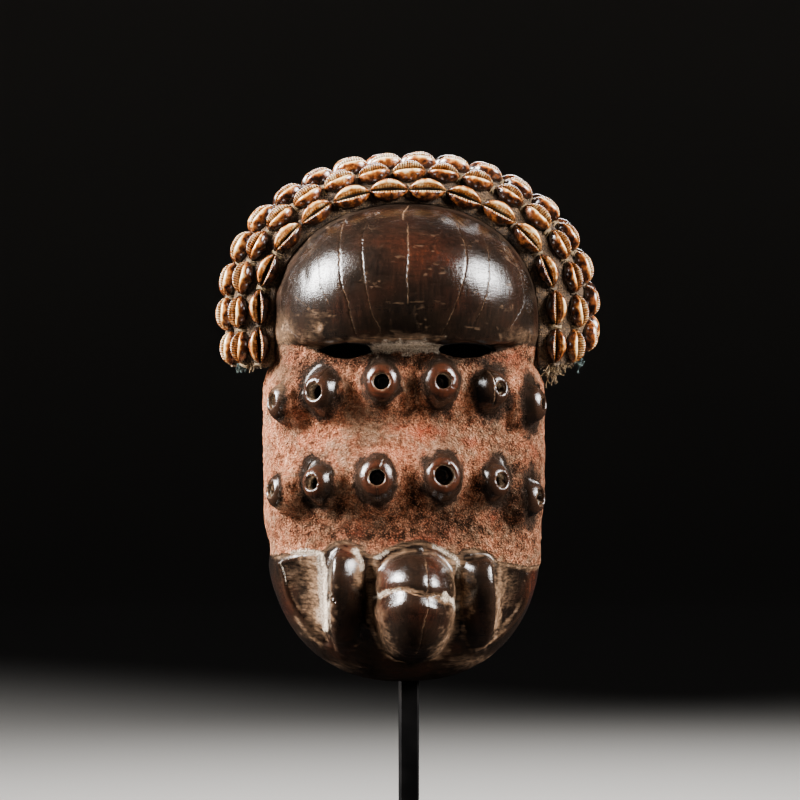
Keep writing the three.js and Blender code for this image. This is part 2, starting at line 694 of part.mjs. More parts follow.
function standPost() {
  const { side, bevel, armZ, armThick, armReach, saddle } = POST;
  const armTop = armZ + armThick;
  const front = RIM_Y - armReach;
  const upright = bevelledBlock(side, side, bevel, BASE.thick + TOUCH_GAP, armTop);
  const arm = box(new THREE.Vector3(-side / 2, front, armZ), new THREE.Vector3(side / 2, POST_Y, armTop));
  const pad = box(
    new THREE.Vector3(-saddle / 2, front, armZ),
    new THREE.Vector3(saddle / 2, front + side, armTop),
  );
  return upright.translate([0, POST_Y, 0]).add(arm).add(pad);
}

const mask = new THREE.Group();
mask.position.x = MASK_X;
mask.add(namedMesh("wood_mask", woodMask(), PATINA));
mask.add(namedMesh("cloth_headdress", clothHeaddress(), CLOTH));
ROW_COUNTS.forEach((count, i) => {
  const row = cowrieRow(FIRST_ROW_TURN + i * ROW_STEP, count);
  mask.add(namedMesh(`cowrie_row_${i + 1}`, row, SHELL));
});

const part = new THREE.Group();
part.add(mask);
part.add(namedMesh("stand_post", standPost(), STEEL));
part.add(namedMesh("stand_base", standBase(), STEEL));

export default part;
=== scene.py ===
# %% [markdown]
# # A carved mask under a headdress of cowries
# This lesson finishes one object: a wooden face mask, hung on a steel stand, with a padded cloth
# headdress that is sewn all over with cowrie shells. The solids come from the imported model, so every
# piece here is made in the same place and at the same size, and adds what those solids leave out:
# tool marks, cracks, crusty earth pigment, toothed shells, threads and worn cloth.

# %% Load the fixed frame
import json
import math
from types import SimpleNamespace

import bmesh
import bpy
import numpy as np
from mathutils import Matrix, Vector

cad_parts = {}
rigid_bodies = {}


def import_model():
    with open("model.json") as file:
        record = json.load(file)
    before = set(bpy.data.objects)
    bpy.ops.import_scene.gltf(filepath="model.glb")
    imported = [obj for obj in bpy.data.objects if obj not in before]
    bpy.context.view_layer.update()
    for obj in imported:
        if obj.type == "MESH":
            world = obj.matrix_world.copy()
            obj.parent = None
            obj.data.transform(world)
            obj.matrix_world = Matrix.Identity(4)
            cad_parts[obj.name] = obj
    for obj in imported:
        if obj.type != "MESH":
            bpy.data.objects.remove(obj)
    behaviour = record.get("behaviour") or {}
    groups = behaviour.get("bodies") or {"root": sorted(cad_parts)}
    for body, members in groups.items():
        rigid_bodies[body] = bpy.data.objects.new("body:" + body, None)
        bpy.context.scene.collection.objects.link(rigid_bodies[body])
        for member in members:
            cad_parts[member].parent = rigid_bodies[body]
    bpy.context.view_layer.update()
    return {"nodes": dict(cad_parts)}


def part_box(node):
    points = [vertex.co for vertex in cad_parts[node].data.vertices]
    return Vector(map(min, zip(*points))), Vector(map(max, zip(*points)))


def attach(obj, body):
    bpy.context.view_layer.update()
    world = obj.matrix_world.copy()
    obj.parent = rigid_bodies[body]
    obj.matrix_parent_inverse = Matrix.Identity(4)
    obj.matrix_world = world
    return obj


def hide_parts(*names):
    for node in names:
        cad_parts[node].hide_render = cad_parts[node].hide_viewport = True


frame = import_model()
for node in sorted(frame["nodes"]):
    low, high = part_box(node)
    print(f"{node}: {[round(1000 * side) for side in high - low]} mm")

# %% [markdown]
# ## Units and small tools
# Lengths are in millimetres, and the mask has a frame of its own: x runs to the viewer's right of the
# nose line, z up from the floor, and depth forward from the flat rim at its back. One place turns all
# of that into Blender's metres. A seeded noise and a curve through given points are written here too,
# because the carving below is worked out in numbers before Blender sees it.

# %% Units and small tools
MM = 0.001
MASK_X = -3
RIM_Y = 16


def smooth(low, high, value):
    """Rises from 0 at low to 1 at high, level at both ends."""
    share = np.clip((value - low) / (high - low), 0, 1)
    return share * share * (3 - 2 * share)


def super_fall(share, power):
    """The fall of a rounded profile from 1 in its middle to 0 at share 1."""
    return np.maximum(0, 1 - np.abs(share) ** power) ** (1 / power)


def through(points, steps):
    """A smooth line through the given points, with the given number of steps from each to the next."""
    points = np.asarray(points, float)
    padded = np.concatenate([2 * points[:1] - points[1:2], points, 2 * points[-1:] - points[-2:-1]])
    t = (np.arange(steps) / steps)[:, None]
    pieces = []
    for a, b, c, d in zip(padded, padded[1:], padded[2:], padded[3:]):
        bend = 2 * a - 5 * b + 4 * c - d
        twist = 3 * b - a - 3 * c + d
        pieces.append(b + 0.5 * ((c - a) * t + bend * t**2 + twist * t**3))
    return np.concatenate([*pieces, points[-1:]])


def noise(points, size, seed):
    """Smooth random values from 0 to 1 at points in mm, which change over about one size."""
    table = np.random.default_rng(seed).random((32, 32, 32))
    cells = np.asarray(points, float) / size
    corner = np.floor(cells).astype(int)
    blend = smooth(0, 1, cells - corner)
    total = np.zeros(len(cells))
    for step in np.ndindex(2, 2, 2):
        weight = np.prod(np.where(step, blend, 1 - blend), axis=1)
        i, j, k = ((corner + step) % 32).T
        total += weight * table[i, j, k]
    return total


def grain(points, size, seed, octaves=3):
    """Noise of several sizes on top of each other, from about -1 to 1."""
    total = sum(0.5**k * (noise(points, size / 2**k, seed + k) - 0.5) for k in range(octaves))
    return total * 2


# %% [markdown]
# ## From numbers to meshes
# Almost every form on the mask is a stack of closed outlines with a skin over them, called a loft. It
# suits carving, because each outline can be stated by its own width, depth and height. Carved forms
# are then cut from each other with Boolean modifiers, which are applied at once so that each step
# leaves one plain mesh.


# %% From numbers to meshes
def add_object(name, points, faces):
    """An object from points in the mask's frame, with its faces pointing outwards."""
    mesh = bpy.data.meshes.new(name)
    mesh.from_pydata(((np.asarray(points, float) + [MASK_X, 0, 0]) * MM).tolist(), [], faces)
    work = bmesh.new()
    work.from_mesh(mesh)
    bmesh.ops.remove_doubles(work, verts=work.verts, dist=1e-7)
    bmesh.ops.recalc_face_normals(work, faces=work.faces)
    work.to_mesh(mesh)
    work.free()
    obj = bpy.data.objects.new(name, mesh)
    bpy.context.scene.collection.objects.link(obj)
    return obj


def loft(name, rings):
    """Skins a stack of closed rings with the same number of points and closes both ends."""
    rings = np.asarray(rings, float)
    count, around = rings.shape[:2]
    index = np.arange(count * around).reshape(count, around)
    beside = np.roll(index, -1, axis=1)
    sides = np.stack([index[:-1], beside[:-1], beside[1:], index[1:]], -1).reshape(-1, 4)
    faces = [*sides.tolist(), index[0][::-1].tolist(), index[-1].tolist()]
    return add_object(name, rings.reshape(-1, 3), faces)


def apply_modifiers(obj):
    """Turns what the object's modifiers make into its own mesh."""
    shown = obj.evaluated_get(bpy.context.evaluated_depsgraph_get())
    made = bpy.data.meshes.new_from_object(shown)
    obj.modifiers.clear()
    old = obj.data
    obj.data = made
    bpy.data.meshes.remove(old)


def cut(target, tool, operation="DIFFERENCE"):
    """Cuts the tool from the target, or joins it on, and removes the tool."""
    modifier = target.modifiers.new("cut", "BOOLEAN")
    modifier.operation = operation
    modifier.solver = "MANIFOLD"
    modifier.object = tool
    apply_modifiers(target)
    bpy.data.objects.remove(tool)


def join(name, objects):
    """One object with the meshes of several."""
    work = bmesh.new()
    for obj in objects:
        work.from_mesh(obj.data)
        bpy.data.objects.remove(obj)
    mesh = bpy.data.meshes.new(name)
    work.to_mesh(mesh)
    work.free()
    obj = bpy.data.objects.new(name, mesh)
    bpy.context.scene.collection.objects.link(obj)
    return obj


# %% [markdown]
# ## The camera
# The mask is seen from straight ahead by a long lens, with its face turned a little towards the
# viewer's right, so it is the camera that stands to one side. One millimetre on the mask covers 1.65
# pixels of an 800-pixel picture, and at two metres that width gives the lens.

# %% The camera
FACE_TURN = math.radians(3.5)
CAMERA_DISTANCE = 2000
CAMERA_HEIGHT = 281.5
CAMERA_ASIDE = -6.7
PIXELS_PER_MM = 1.65
PICTURE_PIXELS = 800
SENSOR_WIDTH = 36

ahead = Vector((math.sin(FACE_TURN), math.cos(FACE_TURN), 0))
aside = Vector((math.cos(FACE_TURN), -math.sin(FACE_TURN), 0))
camera_data = bpy.data.cameras.new("camera")
camera_data.sensor_width = SENSOR_WIDTH
camera_data.lens = SENSOR_WIDTH * CAMERA_DISTANCE * PIXELS_PER_MM / PICTURE_PIXELS
camera_data.clip_start = 0.1
camera_data.clip_end = 20
camera = bpy.data.objects.new("camera", camera_data)
camera.location = (CAMERA_ASIDE * aside - CAMERA_DISTANCE * ahead + Vector((0, 0, CAMERA_HEIGHT))) * MM
camera.rotation_euler = ahead.to_track_quat("-Z", "Y").to_euler()
bpy.context.scene.collection.objects.link(camera)
bpy.context.scene.camera = camera
print(f"lens {camera_data.lens:.1f} mm")

# %% [markdown]
# ## Colours and nodes
# Colours are noted as they look on a screen, in sRGB hex, and one function turns them linear for
# Blender. Node trees are built by one small helper that adds a node, sets it, and fills or links its
# inputs, so that a material reads from top to bottom like a recipe.


# %% Colours and nodes
MATH, RANGE, MIX, RAMP = "ShaderNodeMath", "ShaderNodeMapRange", "ShaderNodeMix", "ShaderNodeValToRGB"
NOISE, CELLS, BUMP = "ShaderNodeTexNoise", "ShaderNodeTexVoronoi", "ShaderNodeBump"
PLACE, STORED = "ShaderNodeTexCoord", "ShaderNodeAttribute"
SHADER, OUTPUT = "ShaderNodeBsdfPrincipled", "ShaderNodeOutputMaterial"


def hex_colour(code):
    """Linear red, green, blue and alpha of an sRGB hex colour."""
    parts = [int(code[i : i + 2], 16) / 255 for i in (1, 3, 5)]
    linear = [p / 12.92 if p <= 0.04045 else ((p + 0.055) / 1.055) ** 2.4 for p in parts]
    return (*linear, 1)


def add_node(tree, kind, inputs=(), stops=(), **settings):
    """Adds a node, sets it, and fills or links its inputs, by name or else the ones in use in order.

    A node that is given as an input stands for its first output, and stops are a ramp's colours.
    """
    node = tree.nodes.new(kind)
    for name, value in settings.items():
        setattr(node, name, value)
    in_use = [socket for socket in node.inputs if socket.enabled]
    for key, value in inputs.items() if isinstance(inputs, dict) else enumerate(inputs):
        socket = node.inputs[key] if isinstance(inputs, dict) else in_use[key]
        if isinstance(value, bpy.types.Node):
            value = next(output for output in value.outputs if output.enabled)
        if isinstance(value, bpy.types.NodeSocket):
            tree.links.new(value, socket)
        else:
            socket.default_value = hex_colour(value) if str(value).startswith("#") else value
    for _ in stops[2:]:
        node.color_ramp.elements.new(0.5)
    for i, (place, colour) in enumerate(stops):
        node.color_ramp.elements[i].position = place
        node.color_ramp.elements[i].color = hex_colour(colour)
    return node


def new_material(name):
    """A material with an empty node tree, and that tree."""
    material = bpy.data.materials.new(name)
    material.use_nodes = True
    material.node_tree.nodes.clear()
    return material, material.node_tree


# %% [markdown]
# ## Studio and light
# A polished dark wood shows its form mostly by what it mirrors. Two large softboxes stand left and
# right of the camera, so each rounded form gets one broad highlight on either side and stays dark
# between them. A third lights the back. Grids hold the light off the floor, which is pale, curves
# up into a wall all round, and is left out of what the polish mirrors.

# %% Studio and light
FLOOR_RADIUS = 2500
CURVE_RADIUS = 700
WALL_TOP = 3200


def studio_bowl():
    """A round floor that curves up into a wall, with its faces towards the inside."""
    turn = np.linspace(0, np.pi / 2, 13)
    curve = np.stack([FLOOR_RADIUS + CURVE_RADIUS * np.sin(turn), CURVE_RADIUS * (1 - np.cos(turn))], -1)
    profile = [(200, 0), (900, 0), *curve.tolist(), (FLOOR_RADIUS + CURVE_RADIUS, WALL_TOP)]
    angle = np.linspace(0, 2 * np.pi, 96, endpoint=False)
    points = [(0, 0, -0.2)]
    for radius, z in profile:
        points += [(radius * math.cos(a), radius * math.sin(a), z - 0.2) for a in angle]
    faces = [(0, 1 + i, 1 + (i + 1) % 96) for i in range(96)]
    for ring in range(len(profile) - 1):
        low = 1 + 96 * ring
        for i in range(96):
            j = (i + 1) % 96
            faces.append((low + i, low + 96 + i, low + 96 + j, low + j))
    mesh = bpy.data.meshes.new("studio_floor")
    mesh.from_pydata((np.array(points) * MM).tolist(), [], faces)
    mesh.polygons.foreach_set("use_smooth", [True] * len(mesh.polygons))
    bowl = bpy.data.objects.new("studio_floor", mesh)
    bpy.context.scene.collection.objects.link(bowl)
    return bowl


floor = studio_bowl()
paper, tree = new_material("pale studio paper")
shader = add_node(tree, SHADER, {"Base Color": "#7d7a76", "Roughness": 0.95})
add_node(tree, OUTPUT, {"Surface": shader})
floor.data.materials.append(paper)
floor.visible_glossy = False

MASK_MIDDLE = Vector((0, 0, 320))
SOFTBOXES = [
    {"name": "left softbox", "azimuth": -87, "height": 31, "away": 1300, "size": (950, 1050), "watts": 26},
    {"name": "right softbox", "azimuth": 68, "height": 30, "away": 1300, "size": (1250, 1150), "watts": 20},
    {"name": "back softbox", "azimuth": 172, "height": 30, "away": 1800, "size": (1200, 900), "watts": 6},
]
SPREAD = math.radians(42)
AIM = Vector((0, 0, 90))


def add_softbox(name, azimuth, height, away, size, watts):
    """A rectangular light with a grid that faces the mask, placed by its angles round it."""
    light = bpy.data.lights.new(name, "AREA")
    light.shape = "RECTANGLE"
    light.size = size[0] * MM
    light.size_y = size[1] * MM
    light.energy = watts
    light.spread = SPREAD
    turn = math.radians(azimuth)
    lift = math.radians(height)
    way = Vector((math.sin(turn) * math.cos(lift), -math.cos(turn) * math.cos(lift), math.sin(lift)))
    lamp = bpy.data.objects.new(name, light)
    lamp.location = (MASK_MIDDLE + away * way) * MM
    lamp.rotation_euler = (away * way - AIM).to_track_quat("Z", "Y").to_euler()
    lamp.visible_camera = False
    bpy.context.scene.collection.objects.link(lamp)


for softbox in SOFTBOXES:
    add_softbox(**softbox)
world = bpy.data.worlds.new("dim studio")
world.use_nodes = True
world.node_tree.nodes["Background"].inputs["Color"].default_value = hex_colour("#8f8f92")
world.node_tree.nodes["Background"].inputs["Strength"].default_value = 0.1
bpy.context.scene.world = world
print(f"{len(SOFTBOXES)} softboxes over a pale floor")

# %% [markdown]
# ## The mask's shape in numbers
# The face is a block whose horizontal slices are half superellipses: nearly flat in front, round at
# the sides. Its width and depth change with height, which gives the cheeks, the waist at the eyes and
# the round chin. The forehead is a second, bulging block that overhangs the eyes.

# %% The mask's shape in numbers
CHIN_Z, JAW_Z, EYE_Z, BROW_Z, TEMPLE_Z, CROWN_Z = 110, 190, 311, 314.5, 330, 401.5
FACE_HALF_WIDTH, EYE_HALF_WIDTH, FACE_DEPTH = 84.3, 80, 61
SLICE_POWER, JAW_POWER, JAW_WIDTH_Z = 2.4, 2.3, 205
ROLLS = [(288, 3, 14), (237, 4, 17), (205, -3, 11)]
BROW_HALF_WIDTH, BROW_DEPTH, BROW_BULGE_Z, BROW_BACKSET, BROW_POWER = 81.2, 84, 345, 9, 2.13
POLE_INSET = 0.35


def face_half_width(z):
    waist = smooth(290, 306, z)
    chin = super_fall(np.maximum(0, JAW_WIDTH_Z - z) / (JAW_WIDTH_Z - CHIN_Z), JAW_POWER)
    return (FACE_HALF_WIDTH + (EYE_HALF_WIDTH - FACE_HALF_WIDTH) * waist) * chin


def face_depth(z):
    rolls = sum(height * np.exp(-(((z - middle) / spread) ** 2)) for middle, height, spread in ROLLS)
    return (FACE_DEPTH + rolls) * super_fall(np.maximum(0, JAW_Z - z) / (JAW_Z - CHIN_Z), JAW_POWER)


def face_shift(z):
    return -1.6 * smooth(150, 220, z) * (1 - smooth(290, 320, z))


def face_surface(x, z):
    """Depth of the plain face at x and z."""
    aside = np.minimum(1, np.abs(x - face_shift(z)) / face_half_width(z))
    return face_depth(z) * super_fall(aside, SLICE_POWER)


def brow_half_width(z):
    return BROW_HALF_WIDTH * super_fall(np.maximum(0, z - TEMPLE_Z) / (CROWN_Z - TEMPLE_Z), BROW_POWER)


def brow_depth(z):
    above = BROW_DEPTH * super_fall(np.maximum(0, z - BROW_BULGE_Z) / (CROWN_Z - BROW_BULGE_Z), BROW_POWER)
    below = BROW_BACKSET * (np.maximum(0, BROW_BULGE_Z - z) / (BROW_BULGE_Z - BROW_Z)) ** 2
    return above - below


def slice_ring(z, half_width, depth, steps, shift=0, back=0):
    """One horizontal outline: a half superellipse in front of a straight back."""
    angle = np.linspace(-np.pi / 2, np.pi / 2, steps + 1)
    x = shift + half_width * np.sign(angle) * np.abs(np.sin(angle)) ** (2 / SLICE_POWER)
    y = RIM_Y - depth * np.maximum(0, np.cos(angle)) ** (2 / SLICE_POWER)
    y[[0, -1]] = RIM_Y - back
    return np.stack([x, y, np.full_like(x, z)], -1)


def ring_heights(low, high, steps, closes_low=False, closes_high=False):
    """Heights from low to high, closer together towards an end that closes to a pole."""
    t = np.linspace(0, 1, steps + 1)
    if closes_low:
        t = 1 - np.cos(t * np.pi / 2)
    if closes_high:
        t = np.sin(t * np.pi / 2)
    return low + (high - low) * t


def face_block():
    chin = ring_heights(CHIN_Z + POLE_INSET, JAW_Z, 40, closes_low=True)
    upper = ring_heights(JAW_Z, TEMPLE_Z, 70)[1:]
    rings = [
        slice_ring(z, face_half_width(z), face_depth(z), 120, face_shift(z)) for z in (*chin, *upper)
    ]
    return loft("face", rings)


def forehead_dome():
    edge = slice_ring(BROW_Z, brow_half_width(BROW_Z) - 1.2, brow_depth(BROW_Z) - 3, 120)
    above = ring_heights(BROW_Z + 2, CROWN_Z - POLE_INSET, 60, closes_high=True)
    return loft("dome", [edge, *(slice_ring(z, brow_half_width(z), brow_depth(z), 120) for z in above)])


# %% [markdown]
# ## Muzzle, tusks and jaw plates
# Below the stubs the carver left a muzzle between two tusks, and hollowed a plate outside each tusk.
# The muzzle is an egg with full shoulders that leans back at its lower end. Each tusk is a ridge,
# steep outside and sloping inside, drawn through seven stations.

# %% Muzzle, tusks and jaw plates
TUSK_FOOT = 5
PLATE_DISH = 3.5
PLATE_CLEAR = 20
TUSKS = {
    "left": [
        (192.5, -45, -41, -35, 1),
        (188, -48, -42.5, -29.5, 8.5),
        (178, -49, -43, -26.5, 12.5),
        (163, -49, -43.5, -25.5, 14),
        (148, -48, -43, -25.5, 13.5),
        (138, -46, -41, -28, 9),
        (130, -43, -39, -32, 1),
    ],
    "right": [
        (188.5, 47, 41, 34, 1),
        (184, 50, 43, 30.5, 9),
        (174, 51, 44.5, 29, 13),
        (160, 52, 46, 29, 14.5),
        (147, 51.5, 46, 29.5, 13.5),
        (138, 49, 44, 31, 8.5),
        (130, 45, 41, 35, 1),
    ],
}
PLATES = {
    "left": [
        (186, -80, -50, 0),
        (181, -78.5, -50, 0.45),
        (170, -75.5, -50, 0.95),
        (158, -71, -49.5, 1),
        (148, -65, -49, 1),
        (140, -58, -48, 0.9),
        (134, -51, -47, 0.6),
    ],
    "right": [
        (182, 79, 53, 0),
        (178, 77.5, 53, 0.3),
        (168, 73.5, 53, 0.6),
        (158, 70.5, 53, 1),
        (149, 66, 52.5, 1),
        (142, 60, 51.5, 0.9),
        (137, 54, 50, 0.5),
    ],
}


def egg(name, x, depth, z, half_x, half_y, up, down, power=2, lean=0):
    """An egg with its own heights above and below. A power over 2 fills its shoulders."""
    levels = np.sin(np.linspace(-np.pi / 2, np.pi / 2, 49))[1:-1]
    angle = np.linspace(0, 2 * np.pi, 72, endpoint=False)
    rings = []
    for level in levels:
        fill = super_fall(level, power)
        height = level * (up if level > 0 else down)
        back = lean * min(0, level) ** 2
        ring = [x + half_x * fill * np.cos(angle), RIM_Y - depth + back + half_y * fill * np.sin(angle)]
        rings.append(np.stack([*ring, np.full_like(angle, z + height)], -1))
    return loft(name, rings)


def tusk(name, stations):
    """Skins a ridge whose section runs from the outer foot over the crest to the inner foot."""
    rings = []
    for z, outer, crest, inner, rise in through(stations, 6):
        at_crest = face_surface(crest, z)
        section = [
            (outer, face_surface(outer, z) - TUSK_FOOT),
            (outer + 0.22 * (crest - outer), at_crest + 0.72 * rise),
            (outer + 0.68 * (crest - outer), at_crest + 0.98 * rise),
            (crest + 0.15 * (inner - crest), at_crest + rise),
            (crest + 0.5 * (inner - crest), at_crest + 0.8 * rise),
            (crest + 0.85 * (inner - crest), at_crest + 0.35 * rise),
            (inner, face_surface(inner, z) - 2 * TUSK_FOOT),
        ]
        line = through(section, 5)
        rings.append(np.stack([line[:, 0], RIM_Y - line[:, 1], np.full(len(line), z)], -1))
    return loft(name, rings)


def plate_hollow(name, stations):
    """The wood taken away between a plate's rim and the groove beside the tusk."""
    rings = []
    for z, rim, groove, done in through(stations, 5):
        a = np.array([rim, face_surface(rim, z)])
        b = np.array([groove, face_surface(groove, z)])
        away = np.array([np.sign(rim) * (b[1] - a[1]), abs(a[0] - b[0])])
        away /= np.linalg.norm(away)
        t = np.linspace(0, 1, 13)[:, None]
        flat = a + (b - a) * t - away * PLATE_DISH * 4 * t * (1 - t)
        x = rim + (groove - rim) * t[:, 0]
        curved = np.stack([x, face_surface(x, z)], -1) + 0.3 * away
        line = curved + (flat - curved) * np.clip(done, 0, 1)
        line = np.concatenate([line, [b + away * PLATE_CLEAR, a + away * PLATE_CLEAR]])
        rings.append(np.stack([line[:, 0], RIM_Y - line[:, 1], np.full(len(line), z)], -1))
    return loft(name, rings)


# %% [markdown]
# ## The bored stubs
# Twelve short knobs stand on the face in two rows, each bored from its mouth. A knob turns outwards
# the further it stands from the nose line, and swells from an upright oval foot to a round top. The
# bore is cut before the parts are melted together, so its edge comes out worn and round.

# %% The bored stubs
STUB_HEIGHT = 13
STUB_LIFT = math.radians(5)
BORE_DEPTH = 15
STUB_PROFILE = [
    (-5, 15.6, 20), (-1, 14, 17.8), (2.5, 12.9, 15.8), (5.6, 12.1, 14.1), (8, 11.2, 12.7), (10, 9.9, 11.1),
    (11.6, 8.2, 9.2), (12.7, 6.4, 7), (13.1, 4.9, 5.2),
]
STUBS = [
    {"x": -82.8, "z": 280.9, "turn": -66, "size": 0.88, "hole": 4.2},
    {"x": -58.2, "z": 286.8, "turn": -38, "size": 0.9, "hole": 5},
    {"x": -18.5, "z": 292.7, "turn": -8, "size": 0.94, "hole": 5.1},
    {"x": 18.6, "z": 293, "turn": 10, "size": 0.97, "hole": 4.6},
    {"x": 52.8, "z": 288.8, "turn": 38, "size": 0.84, "hole": 3.4},
    {"x": 79.3, "z": 279.5, "turn": 68, "size": 0.88, "hole": 4},
    {"x": -83.4, "z": 227.8, "turn": -66, "size": 0.84, "hole": 4.2},
    {"x": -59.7, "z": 232.8, "turn": -38, "size": 0.82, "hole": 4.2},
    {"x": -21.3, "z": 236.3, "turn": -6, "size": 1, "hole": 4.9},
    {"x": 19.2, "z": 237.5, "turn": 8, "size": 1, "hole": 6},
    {"x": 53.4, "z": 234.1, "turn": 38, "size": 0.82, "hole": 4.2},
    {"x": 77.8, "z": 223.4, "turn": 61, "size": 0.86, "hole": 5},
]


def stub_axes(stub):
    """The stub's root on the face, and its directions across, up and out along the bore."""
    turn = math.radians(stub["turn"])
    out = np.array([
        math.sin(turn) * math.cos(STUB_LIFT),
        -math.cos(turn) * math.cos(STUB_LIFT),
        math.sin(STUB_LIFT),
    ])
    side = np.cross([0, 0, 1], out)
    side /= np.linalg.norm(side)
    up = np.cross(out, side)
    root_x = stub["x"] - STUB_HEIGHT * out[0]
    root_z = stub["z"] - STUB_HEIGHT * out[2]
    root = np.array([root_x, RIM_Y - face_surface(root_x, root_z), root_z])
    return root, side, up, out


def stub_ring(stub, height, across, along):
    root, side, up, out = stub_axes(stub)
    angle = np.linspace(0, 2 * np.pi, 40, endpoint=False)[:, None]
    return root + out * height + side * across * np.cos(angle) + up * along * np.sin(angle)


def bored_stub(stub):
    profile = through(STUB_PROFILE, 5)
    size = stub["size"]
    mound = loft("stub", [stub_ring(stub, h, a * size, b * size) for h, a, b in profile])
    cut(mound, stub_bore(stub))
    return mound


def stub_bore(stub):
    hole = stub["hole"]
    ends = [(STUB_HEIGHT - BORE_DEPTH, hole), (STUB_HEIGHT - 0.9, hole), (STUB_HEIGHT + 1, hole + 0.7)]
    return loft("bore", [stub_ring(stub, height, radius, radius) for height, radius in ends])

# %% [markdown]
# ## Melting the carving together
# The pieces overlap as plain shells, and a voxel remesh turns them into one skin. It also softens
# every inner corner a little, which is how a carved and much handled block looks. The eye slits are
# cut as deep pockets before that, and open into the hollow later.

# %% Melting the carving together
VOXEL = 1.2
EYES = [(-53.8, -19.9), (13.3, 51.9)]
EYE_INSIDE = 20


def eye_pocket(left, right):
    """A lens-shaped cut, arched above and sagging below."""
    half = (right - left) / 2
    t = np.linspace(0, 1, 25)[:, None]

    def arch(shoulder, rise):
        ends = np.array([[-half, 0], [half, 0]])
        handles = np.array([[-half * shoulder, rise], [half * shoulder, rise]])
        return (
            (1 - t) ** 3 * ends[0]
            + 3 * (1 - t) ** 2 * t * handles[0]
            + 3 * (1 - t) * t**2 * handles[1]
            + t**3 * ends[1]
        )

    outline = np.concatenate([arch(0.7, 5.7), arch(0.6, -6.75)[-2:0:-1]])
    x = outline[:, 0] + (left + right) / 2
    z = outline[:, 1] + EYE_Z
    ends = [RIM_Y - EYE_INSIDE, RIM_Y - EYE_INSIDE - BROW_DEPTH]
    return loft("eye pocket", [np.stack([x, np.full_like(x, y), z], -1) for y in ends])


face = face_block()
for side, stations in PLATES.items():
    cut(face, plate_hollow(f"{side} plate", stations))
cut(face, egg("left cleft", -24, 63, 160, 5.5, 14, 25, 28))
cut(face, egg("right cleft", 28.5, 63, 160, 4.5, 13, 25, 27))
for stub in STUBS:
    cut(face, stub_bore(stub))
dome = forehead_dome()
for left, right in EYES:
    cut(face, eye_pocket(left, right))
    cut(dome, eye_pocket(left, right))
muzzle = egg("muzzle", 2.6, 51, 163, 25, 40, 29, 39, power=2.4, lean=15)
tusks = [tusk(f"{side} tusk", stations) for side, stations in TUSKS.items()]
mask = join("mask_wood", [face, dome, muzzle, *tusks, *(bored_stub(stub) for stub in STUBS)])

melt = mask.modifiers.new("melt", "REMESH")
melt.mode = "VOXEL"
melt.voxel_size = VOXEL * MM
apply_modifiers(mask)
print(f"one skin of {len(mask.data.polygons)} faces")

# %% [markdown]
# ## Where the cracks and grooves run
# Old wood splits along its fibres, so the forehead carries long upright cracks, the muzzle has a
# split across it that reads as its mouth, and short ones start at the edges of some bores. Each is
# a short list of places on the mask, x and z in millimetres.

